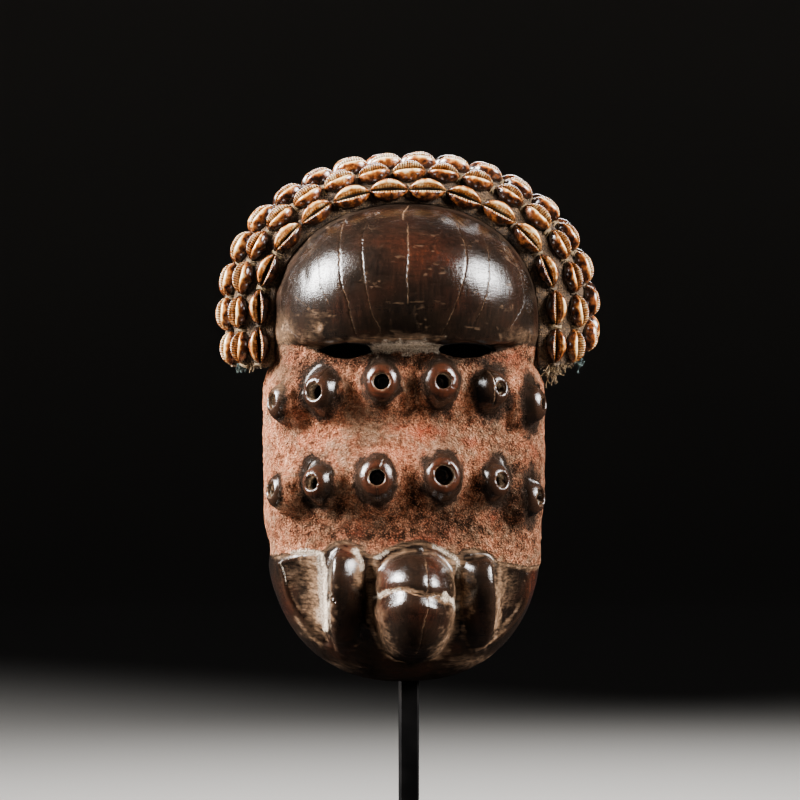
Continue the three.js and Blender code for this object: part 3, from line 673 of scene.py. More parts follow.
# %% Where the cracks and grooves run
CRACKS = {
    "crown": ([(0, 402), (0.5, 398), (-3.5, 393), (-4.5, 388)], 0.6, 0.7),
    "middle": ([(-1.5, 388.5), (-2.5, 378), (-2.5, 366), (-3.5, 354.5), (-3, 346), (-3.5, 335)], 0.5, 0.6),
    "left long": (
        [
            (-36.5, 391), (-40.5, 384), (-42.5, 372), (-42.5, 358), (-41.5, 348.5), (-38.5, 340),
            (-35.5, 327.5), (-32, 318),
        ],
        0.5,
        0.6,
    ),
    "left inner": (
        [
            (-26, 388), (-29, 378), (-29.5, 368.5), (-29, 356.5), (-27.5, 346), (-24, 332.5),
            (-19.5, 324), (-18, 317),
        ],
        0.45,
        0.5,
    ),
    "left branch": ([(-26.5, 387.5), (-23, 380.5)], 0.3, 0.3),
    "left outer": ([(-54.5, 370.5), (-54.5, 360.5), (-54, 350.5), (-52, 344), (-47.5, 334.5)], 0.3, 0.3),
    "left edge": ([(-75.5, 356), (-76.5, 341), (-74.5, 328), (-69, 321.5), (-62.5, 315)], 0.35, 0.35),
    "right long": (
        [
            (19.5, 398), (27.5, 389), (29, 381.5), (31.5, 372.5), (32, 364), (30.5, 355.5),
            (28.5, 348), (22.5, 331.5), (15, 315.5),
        ],
        0.45,
        0.55,
    ),
    "right inner": (
        [(44, 380), (45.5, 371), (46, 361), (45, 349.5), (43, 341), (39.5, 332.5), (33.5, 321)],
        0.4,
        0.45,
    ),
    "right outer": (
        [
            (54.5, 379.5), (60.5, 370.5), (65.5, 360), (67.5, 349), (68, 340.5), (64.5, 333),
            (60, 325.5), (54.5, 316),
        ],
        0.4,
        0.45,
    ),
    "short right": ([(2, 349), (1.5, 341.5), (1, 333.5), (2.5, 327), (4.5, 322)], 0.3, 0.3),
    "short left": ([(-14, 340.5), (-13.5, 333.5), (-13.5, 326.5)], 0.3, 0.25),
    "muzzle top": (
        [(7.5, 194), (8, 183.5), (8.5, 167.5), (8, 160), (6, 151), (4.5, 138.5), (1.5, 128)],
        0.35,
        0.4,
    ),
    "stub upper left middle": ([(-56.5, 292), (-53, 296.5), (-48, 301)], 0.4, 0.6),
    "stub upper left inner": ([(-19, 306), (-22, 305), (-25, 302.5)], 0.35, 0.4),
    "stub lower left inner, up": ([(-20, 240.5), (-18.5, 243.5), (-16.5, 247.5)], 0.45, 0.7),
    "stub lower left inner, down": ([(-21.3, 231.5), (-20.5, 225), (-19, 218)], 0.35, 0.4),
    "stub lower left middle, up": ([(-61, 237), (-60, 241.5), (-57, 245.5)], 0.45, 0.6),
    "stub lower left middle, down": ([(-59, 228.5), (-56.5, 220.5), (-54, 216.5)], 0.35, 0.4),
    "stub upper right inner": ([(22, 290.5), (25.5, 288), (29, 286)], 0.35, 0.5),
    "stub upper right middle": ([(44.5, 299.5), (48, 295.5), (49, 287.5), (48.5, 277.5)], 0.5, 0.6),
    "crust": ([(-36, 260.5), (-30.5, 262), (-23, 263.5), (-15, 265)], 0.6, 0.5),
}
SCRATCHES = {
    "long": [(-24.5, 372), (-16, 373.5), (-8.5, 374.5)],
    "middle level": [(0, 373.5), (7.5, 376.5)],
    "right low": [(56, 325.5), (65, 326), (73, 326)],
    "right of middle": [(8, 338.5), (15, 340)],
    "left of middle": [(-12.5, 343.5), (-8, 339)],
    "right upright": [(50, 370), (51, 359)],
    "right corner": [(45, 319), (51, 324)],
    "left low": [(-46, 326), (-42, 331)],
}
MOUTH = (
    [
        (-22.5, 163.5), (-15.5, 169), (-7.5, 171), (-0.5, 169),
        (6.5, 167.5), (13.5, 168), (20.5, 165), (27, 159),
    ],
    1.0,
    1.3,
)
SCRATCH = (0.35, 0.1)
FINE_BAND = 1.5
WANDER = 0.22
print(f"{len(CRACKS)} cracks and {len(SCRATCHES)} scratches")

# %% [markdown]
# ## From drawn lines to cracks
# A crack never runs straight. Each list becomes a smooth line that wanders a little, and every
# point of the mask can then be asked how far it is from the line, and how far along it.


# %% From drawn lines to cracks
def routes():
    """Each crack's line in x and z with a small wander, its half width and its depth."""
    random = np.random.default_rng(7)
    made = {}
    given = {**CRACKS, "mouth": MOUTH, **{name: (line, *SCRATCH) for name, line in SCRATCHES.items()}}
    for name, (points, half_width, depth) in given.items():
        line = through(points, 8)
        line[1:-1] += random.normal(0, WANDER, line[1:-1].shape)
        made[name] = (line, half_width, depth)
    return made


def distance_to(line, x, z):
    """How far points at x and z are from a line, and how far along it they are from 0 to 1."""
    best = np.full(len(x), 1e3)
    place = np.zeros(len(x))
    near = (x > line[:, 0].min() - 12) & (x < line[:, 0].max() + 12)
    near &= (z > line[:, 1].min() - 12) & (z < line[:, 1].max() + 12)
    points = np.stack([x[near], z[near]], -1)
    found = np.full(len(points), 1e3)
    along = np.zeros(len(points))
    for k, (a, b) in enumerate(zip(line, line[1:])):
        t = np.clip((points - a) @ (b - a) / ((b - a) @ (b - a)), 0, 1)
        d = np.linalg.norm(points - a - t[:, None] * (b - a), axis=1)
        closer = d < found
        found[closer] = d[closer]
        along[closer] = (k + t[closer]) / (len(line) - 1)
    best[near] = found
    place[near] = along
    return best, place


ROUTES = routes()
print(f"{len(ROUTES)} lines to carve")

# %% [markdown]
# ## Finer bands along the cracks
# The skin's faces are about as wide as a crack, which would turn its edges into steps. A finer skin
# all over would cost millions of faces, so only the faces beside a line are split.


# %% Finer bands along the cracks
def places(mesh):
    """The mesh's points in the mask's frame, in mm."""
    flat = np.zeros(len(mesh.vertices) * 3)
    mesh.vertices.foreach_get("co", flat)
    return flat.reshape(-1, 3) / MM - [MASK_X, 0, 0]


def triangle_count(obj):
    return sum(len(polygon.vertices) - 2 for polygon in obj.data.polygons)


def refine(obj, wanted, cuts):
    """Splits every edge of the faces that are wanted, given by their middles."""
    work = bmesh.new()
    work.from_mesh(obj.data)
    work.faces.ensure_lookup_table()
    middles = np.array([face.calc_center_median() for face in work.faces]) / MM - [MASK_X, 0, 0]
    chosen = wanted(middles)
    edges = {edge for face, use in zip(work.faces, chosen) if use for edge in face.edges}
    bmesh.ops.subdivide_edges(work, edges=list(edges), cuts=cuts, use_grid_fill=True)
    work.to_mesh(obj.data)
    work.free()


SMALL_DENTS = [(-62.5, 356, 4), (-55, 324.5, 3), (-47, 164.5, 4.5)]


def beside_a_crack(points):
    x, z = points[:, 0], points[:, 2]
    near = np.zeros(len(points), bool)
    for line, half_width, _ in ROUTES.values():
        distance, _ = distance_to(line, x, z)
        near |= distance < FINE_BAND + 0.5 * half_width
    for dent_x, dent_z, reach in SMALL_DENTS:
        near |= np.hypot(x - dent_x, z - dent_z) < reach
    return near & (points[:, 1] < RIM_Y - 12)


refine(mask, beside_a_crack, 2)
print(f"{triangle_count(mask)} triangles with finer bands along the cracks")

# %% [markdown]
# ## Softening
# Averaging each point with its neighbours rounds the edges as handling does. The number of rounds
# sets how far, and a share at each point keeps it to a part of the mask.


# %% Softening
def edge_pairs(mesh):
    flat = np.zeros(len(mesh.edges) * 2, int)
    mesh.edges.foreach_get("vertices", flat)
    return flat.reshape(-1, 2)


def neighbour_mean(values, pairs):
    """Each point's mean over its neighbours, for one number or several at each point."""
    values = np.asarray(values, float)
    columns = values.reshape(len(values), -1)
    count = np.bincount(pairs.ravel(), minlength=len(values))
    total = np.stack(
        [
            np.bincount(pairs[:, 0], column[pairs[:, 1]], len(values))
            + np.bincount(pairs[:, 1], column[pairs[:, 0]], len(values))
            for column in columns.T
        ],
        -1,
    )
    return (total / np.maximum(1, count)[:, None]).reshape(values.shape)


def normals(mesh):
    flat = np.zeros(len(mesh.vertices) * 3)
    mesh.vertices.foreach_get("normal", flat)
    return flat.reshape(-1, 3)


def move_to(mesh, points):
    mesh.vertices.foreach_set("co", ((points + [MASK_X, 0, 0]) * MM).ravel())
    mesh.update()


def soften(obj, rounds, share=None):
    """Averages each point with its neighbours, everywhere or by a share at each point."""
    pairs = edge_pairs(obj.data)
    points = places(obj.data)
    weight = 0.5 if share is None else 0.5 * share[:, None]
    for _ in range(rounds):
        points = points + weight * (neighbour_mean(points, pairs) - points)
    move_to(obj.data, points)


soften(mask, 3)
print("edges rounded over 3 rounds")

# %% [markdown]
# ## Where the earth pigment lies
# The red earth covers the face down to a wavy line above the muzzle, and has worn off the tips of
# the stubs and some patches. The crust has thickness, so its place is needed for the relief, and
# again for the colour.

# %% Where the earth pigment lies
JAW_LINE = [
    (-86, 186), (-79, 187.5), (-65, 190.5), (-53.5, 191), (-47.5, 195.5), (-38.5, 198), (-30, 193.5),
    (-23, 189), (-15, 192.5), (-6, 196.5), (2.5, 198), (11.5, 196), (20.5, 192.5), (27, 189),
    (31.5, 191.5), (38.5, 193), (48, 189.5), (54, 185), (63.5, 183), (73.5, 181), (86, 181),
]
BARE_PATCHES = [
    {"aside": 1, "above": 1.5, "wide": 8, "tall": 18, "deep": 15},
    {"aside": 3.4, "above": 0.4, "wide": 12, "tall": 17.5, "deep": 30},
    {"aside": 0.8, "above": 0.2, "wide": 11.2, "tall": 15.6, "deep": 30},
    {"aside": -0.4, "above": -2.6, "wide": 11.2, "tall": 18.6, "deep": 30},
    {"aside": -4, "above": -2.4, "wide": 12.6, "tall": 18.8, "deep": 30},
    {"aside": -3.5, "above": 0, "wide": 9.5, "tall": 20, "deep": 26},
    {"aside": 0.6, "above": 1.2, "wide": 7, "tall": 14, "deep": 15},
    {"aside": 3, "above": -0.4, "wide": 11, "tall": 17, "deep": 30},
    {"aside": -0.4, "above": -2, "wide": 13, "tall": 17, "deep": 30},
    {"aside": -1.4, "above": -2, "wide": 13, "tall": 16.6, "deep": 30},
    {"aside": -1.6, "above": -1.2, "wide": 9.4, "tall": 16.8, "deep": 30},
    {"aside": -1, "above": -2.5, "wide": 8.5, "tall": 23, "deep": 24},
]


def jaw_line(x):
    """Height of the line where the earth pigment ends above the muzzle and tusks."""
    line = through(JAW_LINE, 6)
    return np.interp(x, line[:, 0], line[:, 1])


def pigment_top(x):
    return 311.5 + 3.5 * smooth(52, 66, np.abs(x))


def stub_places(stub, points):
    """Points in one stub's own directions: across, up and out from its root."""
    root, side, up, out = stub_axes(stub)
    away = points - root
    return away @ side, away @ up, away @ out


def bare_round_stubs(points):
    """1 where the pigment is worn off a stub and its foot, fading to 0 over some millimetres."""
    bare = np.zeros(len(points))
    ragged = 0.16 * grain(points, 6, 31) + 0.06 * grain(points, 2, 36, octaves=1)
    for stub, patch in zip(STUBS, BARE_PATCHES):
        root, _, _, out = stub_axes(stub)
        away = points - (root + STUB_HEIGHT * out)
        reach = ((away[:, 0] - patch["aside"]) / patch["wide"]) ** 2
        reach += ((away[:, 2] - patch["above"]) / patch["tall"]) ** 2 + (away[:, 1] / patch["deep"]) ** 2
        bare = np.maximum(bare, 1 - smooth(0.66, 1.36, np.sqrt(reach) + ragged))
    return bare


def pigment_at(points):
    """How much earth pigment covers each point, from 0 to 1."""
    x, z = points[:, 0], points[:, 2]
    ragged = 1.3 * grain(points, 6, 11)
    below_top = smooth(-1.5, 2.5, pigment_top(x) + ragged - z)
    above_jaw = smooth(-1, 1.4, z + 0.8 * ragged - jaw_line(x))
    return below_top * above_jaw * (1 - bare_round_stubs(points))


print(f"earth pigment on {pigment_at(places(mask.data)).mean():.0%} of the skin")

# %% [markdown]
# ## Relief
# Relief is added along each point's normal: the crumb of the earth pigment, slow waves left by the
# adze, fine marks across the chin, and the cracks. The stubs' feet are rounded first, and last the
# outline is bent a little, because the real one isn't even.


# %% Relief
def groove_depth(points, names=None):
    """How deep the cracks and the mouth cut at each point, in mm."""
    deep = np.zeros(len(points))
    for name in names or ROUTES:
        line, half_width, depth = ROUTES[name]
        distance, along = distance_to(line, points[:, 0], points[:, 2])
        fade = smooth(0, 0.12, along) * smooth(0, 0.12, 1 - along)
        width = half_width * (0.5 + 0.4 * fade)
        depth = depth if name == "mouth" else 0.62 * depth
        deep = np.maximum(deep, depth * (0.35 + 0.65 * fade) * np.maximum(0, 1 - distance / width) ** 0.8)
    return deep


def round_the_feet(points):
    """1 where a stub rises from the face, 0 on its top and away from it."""
    foot = np.zeros(len(points))
    for stub in STUBS:
        across, up, out = stub_places(stub, points)
        reach = np.hypot(across / (14 * stub["size"]), up / (17 * stub["size"]))
        near = smooth(0.55, 0.75, reach) * (1 - smooth(1.25, 1.6, reach)) * (1 - smooth(7, 10, out))
        foot = np.maximum(foot, near * (out > -14))
    return foot


WORM_HOLES = [(-48, 167, 0.8), (-47, 164.5, 0.9), (-45.5, 162.5, 0.6), (-47.5, 161, 0.5)]
SWELLINGS = [
    ([(-77.5, 183), (-74.5, 174), (-72, 163.5), (-68, 156), (-60, 146), (-51, 138)], 1.6, 1.1),
    ([(-77, 184), (-66, 188), (-55, 188.5)], 1.6, 0.9),
    ([(-74, 172), (-67, 177), (-62, 180)], 1.1, 0.5),
    ([(72, 176), (73, 168), (70, 156), (65, 149), (57, 141)], 1.6, 1.2),
    ([(-20, 164), (-8, 170.5), (7, 167.5), (24, 161)], 4.2, -1.6),
    ([(-13, 158), (-3, 161), (13, 159)], 5, 1.0),
    ([(8, 194), (8.5, 180), (8.5, 168)], 2.2, -0.5),
    ([(-22, 312.2), (-10, 312.8), (4, 312.8), (14.5, 312.2)], 1.7, 1.7),
]


def uneven(x, z):
    """How far the real outline lies from the even one: pinched at the left jaw, full on the right."""
    edge = (np.abs(x) / FACE_HALF_WIDTH) ** 2
    pinch = 3.2 * np.exp(-(((z - 193) / 9) ** 2)) * (x < 0)
    full = 2.1 * smooth(205, 225, z) * (1 - smooth(288, 302, z)) * (x > 0)
    return edge * (pinch + full)


def relief(points):
    """How far each point moves out along its normal, in mm."""
    x, z = points[:, 0], points[:, 2]
    stretched = points * [0.25, 1, 1]
    pigment = pigment_at(points)
    crumb = 0.34 * grain(points, 2.6, 1) + 0.42 * grain(points, 5.5, 3, octaves=2)
    rise = pigment * (0.5 + crumb + 0.6 * grain(points, 13, 2))
    rise += (1 - pigment) * 0.26 * grain(points, 15, 5, octaves=2)
    rise += 0.25 * grain(stretched, 1.8, 8, octaves=2) * (1 - smooth(128, 150, z))
    for line, half_width, height in SWELLINGS:
        distance, _ = distance_to(through(line, 6), x, z)
        rise += height * np.exp(-((distance / half_width) ** 2))
    for hole_x, hole_z, radius in WORM_HOLES:
        rise -= 1.4 * np.exp(-(((x - hole_x) ** 2 + (z - hole_z) ** 2) / radius**2))
    rise -= 0.5 * np.exp(-(((x + 62.5) / 2.2) ** 2 + ((z - 356) / 5.5) ** 2))
    rise -= 0.7 * np.exp(-(((x + 55) / 1.6) ** 2 + ((z - 324.5) / 2.4) ** 2))
    return rise - groove_depth(points)


soften(mask, 26, round_the_feet(places(mask.data)))
skin = places(mask.data)
soften(mask, 60, smooth(52, 72, np.abs(skin[:, 0])) * np.exp(-(((skin[:, 2] - 313) / 8) ** 2)))
skin = places(mask.data)
facing = smooth(2, 6, RIM_Y - skin[:, 1])
moved = skin + normals(mask.data) * (relief(skin) * facing)[:, None]
moved[:, 0] += uneven(skin[:, 0], skin[:, 2])
move_to(mask.data, moved)
print(f"relief from {relief(skin).min():.2f} to {relief(skin).max():.2f} mm")

# %% [markdown]
# ## The hollow behind the face
# Behind, the mask is scooped out for the wearer's face and left as the gouge left it. The tool for
# that cut is a loft whose skin is dimpled by overlapping scoops, each a shallow bowl round a random
# centre, so the cut surface shows their ridges.

# %% The hollow behind the face
WALL = 9.5
SCOOP_SPACING = 11
SCOOP_DEPTH = 0.9
MOST_TRIANGLES = 190_000


def hollow_half_width(z):
    chin = super_fall(np.maximum(0, JAW_WIDTH_Z - z) / (JAW_WIDTH_Z - CHIN_Z - WALL), JAW_POWER)
    crown = super_fall(np.maximum(0, z - TEMPLE_Z) / (CROWN_Z - WALL - TEMPLE_Z), BROW_POWER)
    return (EYE_HALF_WIDTH - WALL + 3 * (1 - smooth(285, 312, z))) * chin * crown


def hollow_depth(z):
    chin = super_fall(np.maximum(0, JAW_Z - z) / (JAW_Z - CHIN_Z - WALL), JAW_POWER)
    crown = super_fall(np.maximum(0, z - BROW_BULGE_Z) / (CROWN_Z - WALL - BROW_BULGE_Z), BROW_POWER)
    return (40 + 10 * smooth(175, 215, z) + 22 * smooth(315, 338, z)) * chin * crown


def hollow_tool():
    low = ring_heights(CHIN_Z + WALL + POLE_INSET, 250, 44, closes_low=True)
    high = ring_heights(250, CROWN_Z - WALL - POLE_INSET, 50, closes_high=True)[1:]
    rings = np.array([
        slice_ring(z, hollow_half_width(z), hollow_depth(z), 72, face_shift(z), back=-2)
        for z in (*low, *high)
    ])
    flat = rings.reshape(-1, 3)
    random = np.random.default_rng(3)
    centres = flat[random.choice(len(flat), 260, replace=False)]
    nearest = np.full(len(flat), 1e3)
    for centre in centres:
        nearest = np.minimum(nearest, np.linalg.norm(flat - centre, axis=1))
    inwards = (np.array([0, RIM_Y, 250]) - flat) * [1, 1, 0.4]
    inwards /= np.linalg.norm(inwards, axis=1)[:, None]
    scoop = SCOOP_DEPTH * np.minimum(1, (nearest / SCOOP_SPACING) ** 2)
    inside = smooth(2, 8, RIM_Y - flat[:, 1])
    return loft("hollow", (flat + inwards * (scoop * inside)[:, None]).reshape(rings.shape))


cut(mask, hollow_tool())
thin_out = mask.modifiers.new("thin out", "DECIMATE")
thin_out.ratio = min(1, MOST_TRIANGLES / triangle_count(mask))
print(f"{triangle_count(mask)} triangles with the hollow cut")
apply_modifiers(mask)
print(f"{triangle_count(mask)} triangles after the flat places are thinned out")

# %% [markdown]
# ## What lies on the wood
# One mask carries many surfaces: oiled wood, crusty red earth, smoke stain and painted shade,
# white clay dust in the grooves.
# Their places are worked out once for each point, as numbers from 0 to 1, and stored on the mesh. The
# material then only mixes finishes by those numbers, and the same mesh looks right from any side.


# %% What lies on the wood
def store(mesh, name, values):
    attribute = mesh.attributes.get(name) or mesh.attributes.new(name, "FLOAT", "POINT")
    attribute.data.foreach_set("value", np.asarray(values, np.float32))


def hollowness(mesh, rounds):
    """How far each point lies below its neighbours, positive in a groove, in 1/mm."""
    pairs = edge_pairs(mesh)
    points = places(mesh)
    length = np.linalg.norm(points[pairs[:, 0]] - points[pairs[:, 1]], axis=1)
    spread = np.bincount(pairs[:, 0], length**2, len(points))
    spread += np.bincount(pairs[:, 1], length**2, len(points))
    spread /= np.maximum(1, np.bincount(pairs.ravel(), minlength=len(points)))
    step = np.einsum("ij,ij->i", neighbour_mean(points, pairs) - points, normals(mesh))
    bend = 2 * step / np.maximum(0.05, spread)
    for _ in range(rounds):
        bend = 0.5 * bend + 0.5 * neighbour_mean(bend, pairs)
    return bend


def is_inside(points):
    """1 on the hollow and its rim, 0 on the carved outside."""
    depth = RIM_Y - points[:, 1]
    x = np.abs(points[:, 0] - face_shift(points[:, 2]))
    width = np.maximum(1, hollow_half_width(points[:, 2]))
    reach = (x / width) ** SLICE_POWER + (depth / np.maximum(1, hollow_depth(points[:, 2]))) ** SLICE_POWER
    return np.where((reach < 1.12) | (depth < 0.6), 1.0, 0.0)


def lines(points, strokes):
    """Soft uneven strokes along lines in x and z, each with a half width and a strength."""
    total = np.zeros(len(points))
    ragged = 1 + 0.55 * grain(points, 4, 61, octaves=2)
    for line, half_width, strength in strokes:
        distance, _ = distance_to(through(line, 6), points[:, 0], points[:, 2])
        total = np.maximum(total, strength * np.exp(-((distance * ragged / half_width) ** 2)))
    return total


def marks(points, spots):
    """Soft oval spots: x, z, half width, half height and strength."""
    total = np.zeros(len(points))
    for x, z, wide, tall, strength in spots:
        reach = ((points[:, 0] - x) / wide) ** 2 + ((points[:, 2] - z) / tall) ** 2
        total = np.maximum(total, strength * np.exp(-reach))
    return total


print(f"{is_inside(places(mask.data)).mean():.0%} of the points are on the hollow")

# %% [markdown]
# ## Where dust, clay, smoke stain and painted shade lie
# White clay stays in the deepest lines and the bores, dust on the ledges. The face is darker under
# the brow and the stubs and towards the bottom and right, partly smoke stain and partly painted
# shade. Fingers keep some places bare and red, and leave others matt. Each place is an
# oval or a stroke with its strength.

# %% Where dust, clay and soot gather
CLAY_STROKES = [
    ([(-52.3, 189), (-51, 180), (-50.4, 169), (-50, 156), (-49.6, 144)], 1.1, 0.95),
    ([(-54, 188), (-53.2, 176), (-52.4, 164), (-51.5, 150)], 2.2, 0.36),
    ([(-70, 190.6), (-60, 191.6), (-52, 190)], 1.5, 0.7),
    ([(-76.5, 184), (-74, 177), (-73, 170)], 0.5, 0.45),
    ([(-23, 312), (-10, 312.6), (4, 312.6), (15.5, 312)], 2.6, 1.1),
    ([(-21, 164), (-15.5, 168.5), (-8, 170.7)], 1.0, 0.8),
    ([(18, 166.5), (24, 162.5), (27.5, 158)], 1.6, 0.85),
    ([(-33, 192), (-30, 187), (-29, 181)], 1.7, 0.55),
    ([(-21, 188), (-14, 192)], 1.3, 0.55),
    ([(25, 190), (28, 184), (28.6, 176)], 1.5, 0.55),
    ([(14, 194.5), (22, 190.5)], 1.4, 0.55),
]
DUST_STROKES = [
    ([(-31.5, 191), (-31, 183), (-30.5, 174)], 3.0, 0.85),
    ([(-22, 190), (-22.5, 178), (-22.5, 166), (-21, 154)], 3.4, 0.55),
    ([(24, 190), (28, 180), (29.3, 170), (29, 160)], 4.6, 0.75),
    ([(27, 158), (25, 149), (21, 139), (15, 130)], 5.0, 0.4),
    ([(-20, 156), (-18, 144), (-12, 132)], 4.4, 0.3),
    ([(54, 187), (54.3, 176), (54, 160), (53.3, 146)], 1.8, 1.0),
    ([(57, 187), (57.5, 174), (56.5, 160)], 3.2, 0.35),
    ([(-58, 188), (-56, 170), (-53.5, 150)], 5.5, 0.65),
    ([(59, 143.5), (50, 136), (41, 131)], 0.9, 0.6),
    ([(-35, 316), (-20, 317), (0, 317.5), (15, 317)], 2.0, 0.5),
    ([(-22, 164), (-8, 170.5), (7, 167.5), (26, 160)], 1.1, 0.75),
    ([(-44, 316), (-54, 313), (-64, 315)], 2.6, 0.35),
    ([(-67, 150), (-60, 141), (-52, 134)], 1.2, 0.45),
]
DUST_SPOTS = [
    (-66, 176, 10, 10, 0.2), (-57, 142, 8, 5, 0.2), (-76, 318, 7, 14, 0.5), (68, 319, 14, 6, 0.3),
    (-55, 332, 8, 3, 0.2), (-58, 326, 5, 3, 0.2), (-55, 324.5, 2.2, 2.8, 0.9), (60, 170, 6, 12, 0.2),
    (-62, 319, 9, 5, 0.2), (-77, 297, 8, 11, 0.5), (-45, 120, 20, 5, 0.2), (45, 124, 20, 5, 0.3),
    (0, 382, 22, 8, 0.06), (79, 303, 7, 8, 0.4),
]
# Darker spots in the earth: some are smoke stains round the stubs, the rest painted shade under the brow,
# under and beside the stubs and towards the bottom and right.
SOOT_AND_SHADE_SPOTS = [
    (-40, 278, 5, 7, 0.6), (-17, 273, 9, 6, 0.6), (-74, 268, 6, 10, 0.6), (-43, 218, 6, 11, 0.95),
    (-18, 210, 23, 8, 0.8), (-60, 203, 14, 8, 0.5), (3, 287, 5, 10, 0.85), (3, 276, 10, 6, 0.6),
    (38.5, 290, 5, 9, 0.65), (37, 268, 13, 7, 0.55), (60, 264, 5, 6, 0.8), (2, 223, 7, 15, 0.85),
    (40, 226, 6, 15, 0.85), (22, 208, 26, 8, 0.9), (60, 208, 18, 17, 0.7), (56, 256, 12, 9, 0.5),
    (-5, 271, 9, 5, 0.45), (-74, 206, 11, 15, 0.5), (72, 256, 9, 12, 0.6), (-68, 251, 13, 4, 0.25),
    (20, 270, 16, 5, 0.5), (-50, 305, 12, 4, 0.5), (58, 303, 16, 5, 0.45), (-25, 303, 8, 5, 0.4),
    (30, 244, 12, 8, 0.25), (-80, 240, 5, 25, 0.4), (80, 235, 6, 30, 0.5), (-28, 256, 10, 5, 0.3),
    (-37, 197, 14, 5, 0.4), (0, 305, 90, 8, 0.95), (-67, 299, 16, 8, 1.0), (-74, 308, 14, 8, 0.8),
    (73, 308, 14, 8, 0.8), (0, 202, 90, 13, 0.8), (66, 222, 26, 50, 0.95), (-64, 210, 20, 12, 0.6),
    (4, 214, 60, 9, 0.7),
]
EMBER_SPOTS = [
    (-8, 265, 8, 3, 0.6), (9, 262, 11, 4.5, 1.0), (35.5, 256, 5, 3, 1.0), (-8, 198, 10, 5, 0.8),
    (6, 197, 18, 5, 0.9), (51, 212, 5, 4, 0.9), (60, 306, 8, 5, 0.8), (-72, 306, 8, 6, 0.6),
    (-33, 203, 8, 5, 0.9), (76, 250, 4, 6, 0.6), (-66, 275, 6, 8, 0.6), (-58, 258, 10, 7, 0.4),
    (20, 204, 8, 6, 0.6), (-30, 284, 5, 12, 0.35), (-10, 250, 30, 8, 0.3), (52, 306, 8, 4, 0.5),
]
RED_SPOTS = [
    (8, 366, 20, 13, 0.36), (-5, 388, 16, 7, 0.15), (-16, 178, 5, 9, 0.6), (14, 185, 5, 9, 0.5),
    (-20, 156, 4, 9, 0.6), (5, 156, 8, 7, 0.4), (-37, 194, 5, 5, 0.7), (77, 168, 4, 14, 0.8),
    (-72, 160, 4, 12, 0.3), (30, 342, 14, 10, 0.2), (-40, 335, 12, 10, 0.15),
]
MATT_SPOTS = [
    (0, 116, 90, 24, 1.0), (2, 140, 22, 15, 0.7), (-36, 145, 6, 20, 0.8), (36, 146, 6, 20, 0.7),
    (0, 326, 88, 11, 0.7), (-70, 138, 16, 14, 0.8), (70, 138, 16, 14, 0.7), (0, 318, 80, 7, 0.4),
    (-70, 312, 20, 6, 1.0), (70, 312, 20, 6, 1.0), (-26, 165, 3, 18, 0.8), (-64, 166, 11, 16, 0.5),
]
SCUFF_COUNT = 90
RED_STUBS = [0.1, 0.25, 1, 1, 0.1, 0.1, 0.1, 0.55, 0.7, 0.9, 0.2, 0.1]


def crack_dust(points):
    """Dust packed in the cracks, more in some stretches than in others."""
    packed = 0.38 + 0.8 * grain(points, 14, 51, octaves=2)
    names = [*CRACKS, *SCRATCHES]
    thin = smooth(0.02, 0.3, groove_depth(points, names)) * np.clip(packed, 0.08, 0.42)
    full = np.clip(0.75 + 0.5 * grain(points, 8, 52), 0.4, 0.9)
    return np.maximum(thin, full * smooth(0.05, 0.4, groove_depth(points, ["mouth", "crown", "middle"])))


def scuffs(points):
    """Short pale scratches strewn over the forehead, most of them nearly level."""
    random = np.random.default_rng(17)
    total = np.zeros(len(points))
    for _ in range(SCUFF_COUNT):
        middle = np.array([random.uniform(-66, 66), random.uniform(318, 394)])
        turn = random.normal(0, 0.5) + (math.pi / 2 if random.random() < 0.3 else 0)
        way = random.uniform(1, 5.5) * np.array([math.cos(turn), math.sin(turn)])
        distance, _ = distance_to(np.array([middle - way, middle + way]), points[:, 0], points[:, 2])
        total = np.maximum(total, random.uniform(0.1, 0.42) * np.exp(-((distance / 0.4) ** 2)))
    return total


print(f"{len(DUST_STROKES)} dusty strokes, {len(SOOT_AND_SHADE_SPOTS)} sooty spots, {SCUFF_COUNT} scuffs")

# %% [markdown]
# ## Storing the finishes
# The numbers are put together once for each point: a groove holds clay because it is deep, a ridge is
# worn because it stands out. Stored on the mesh, they travel with it into the material.


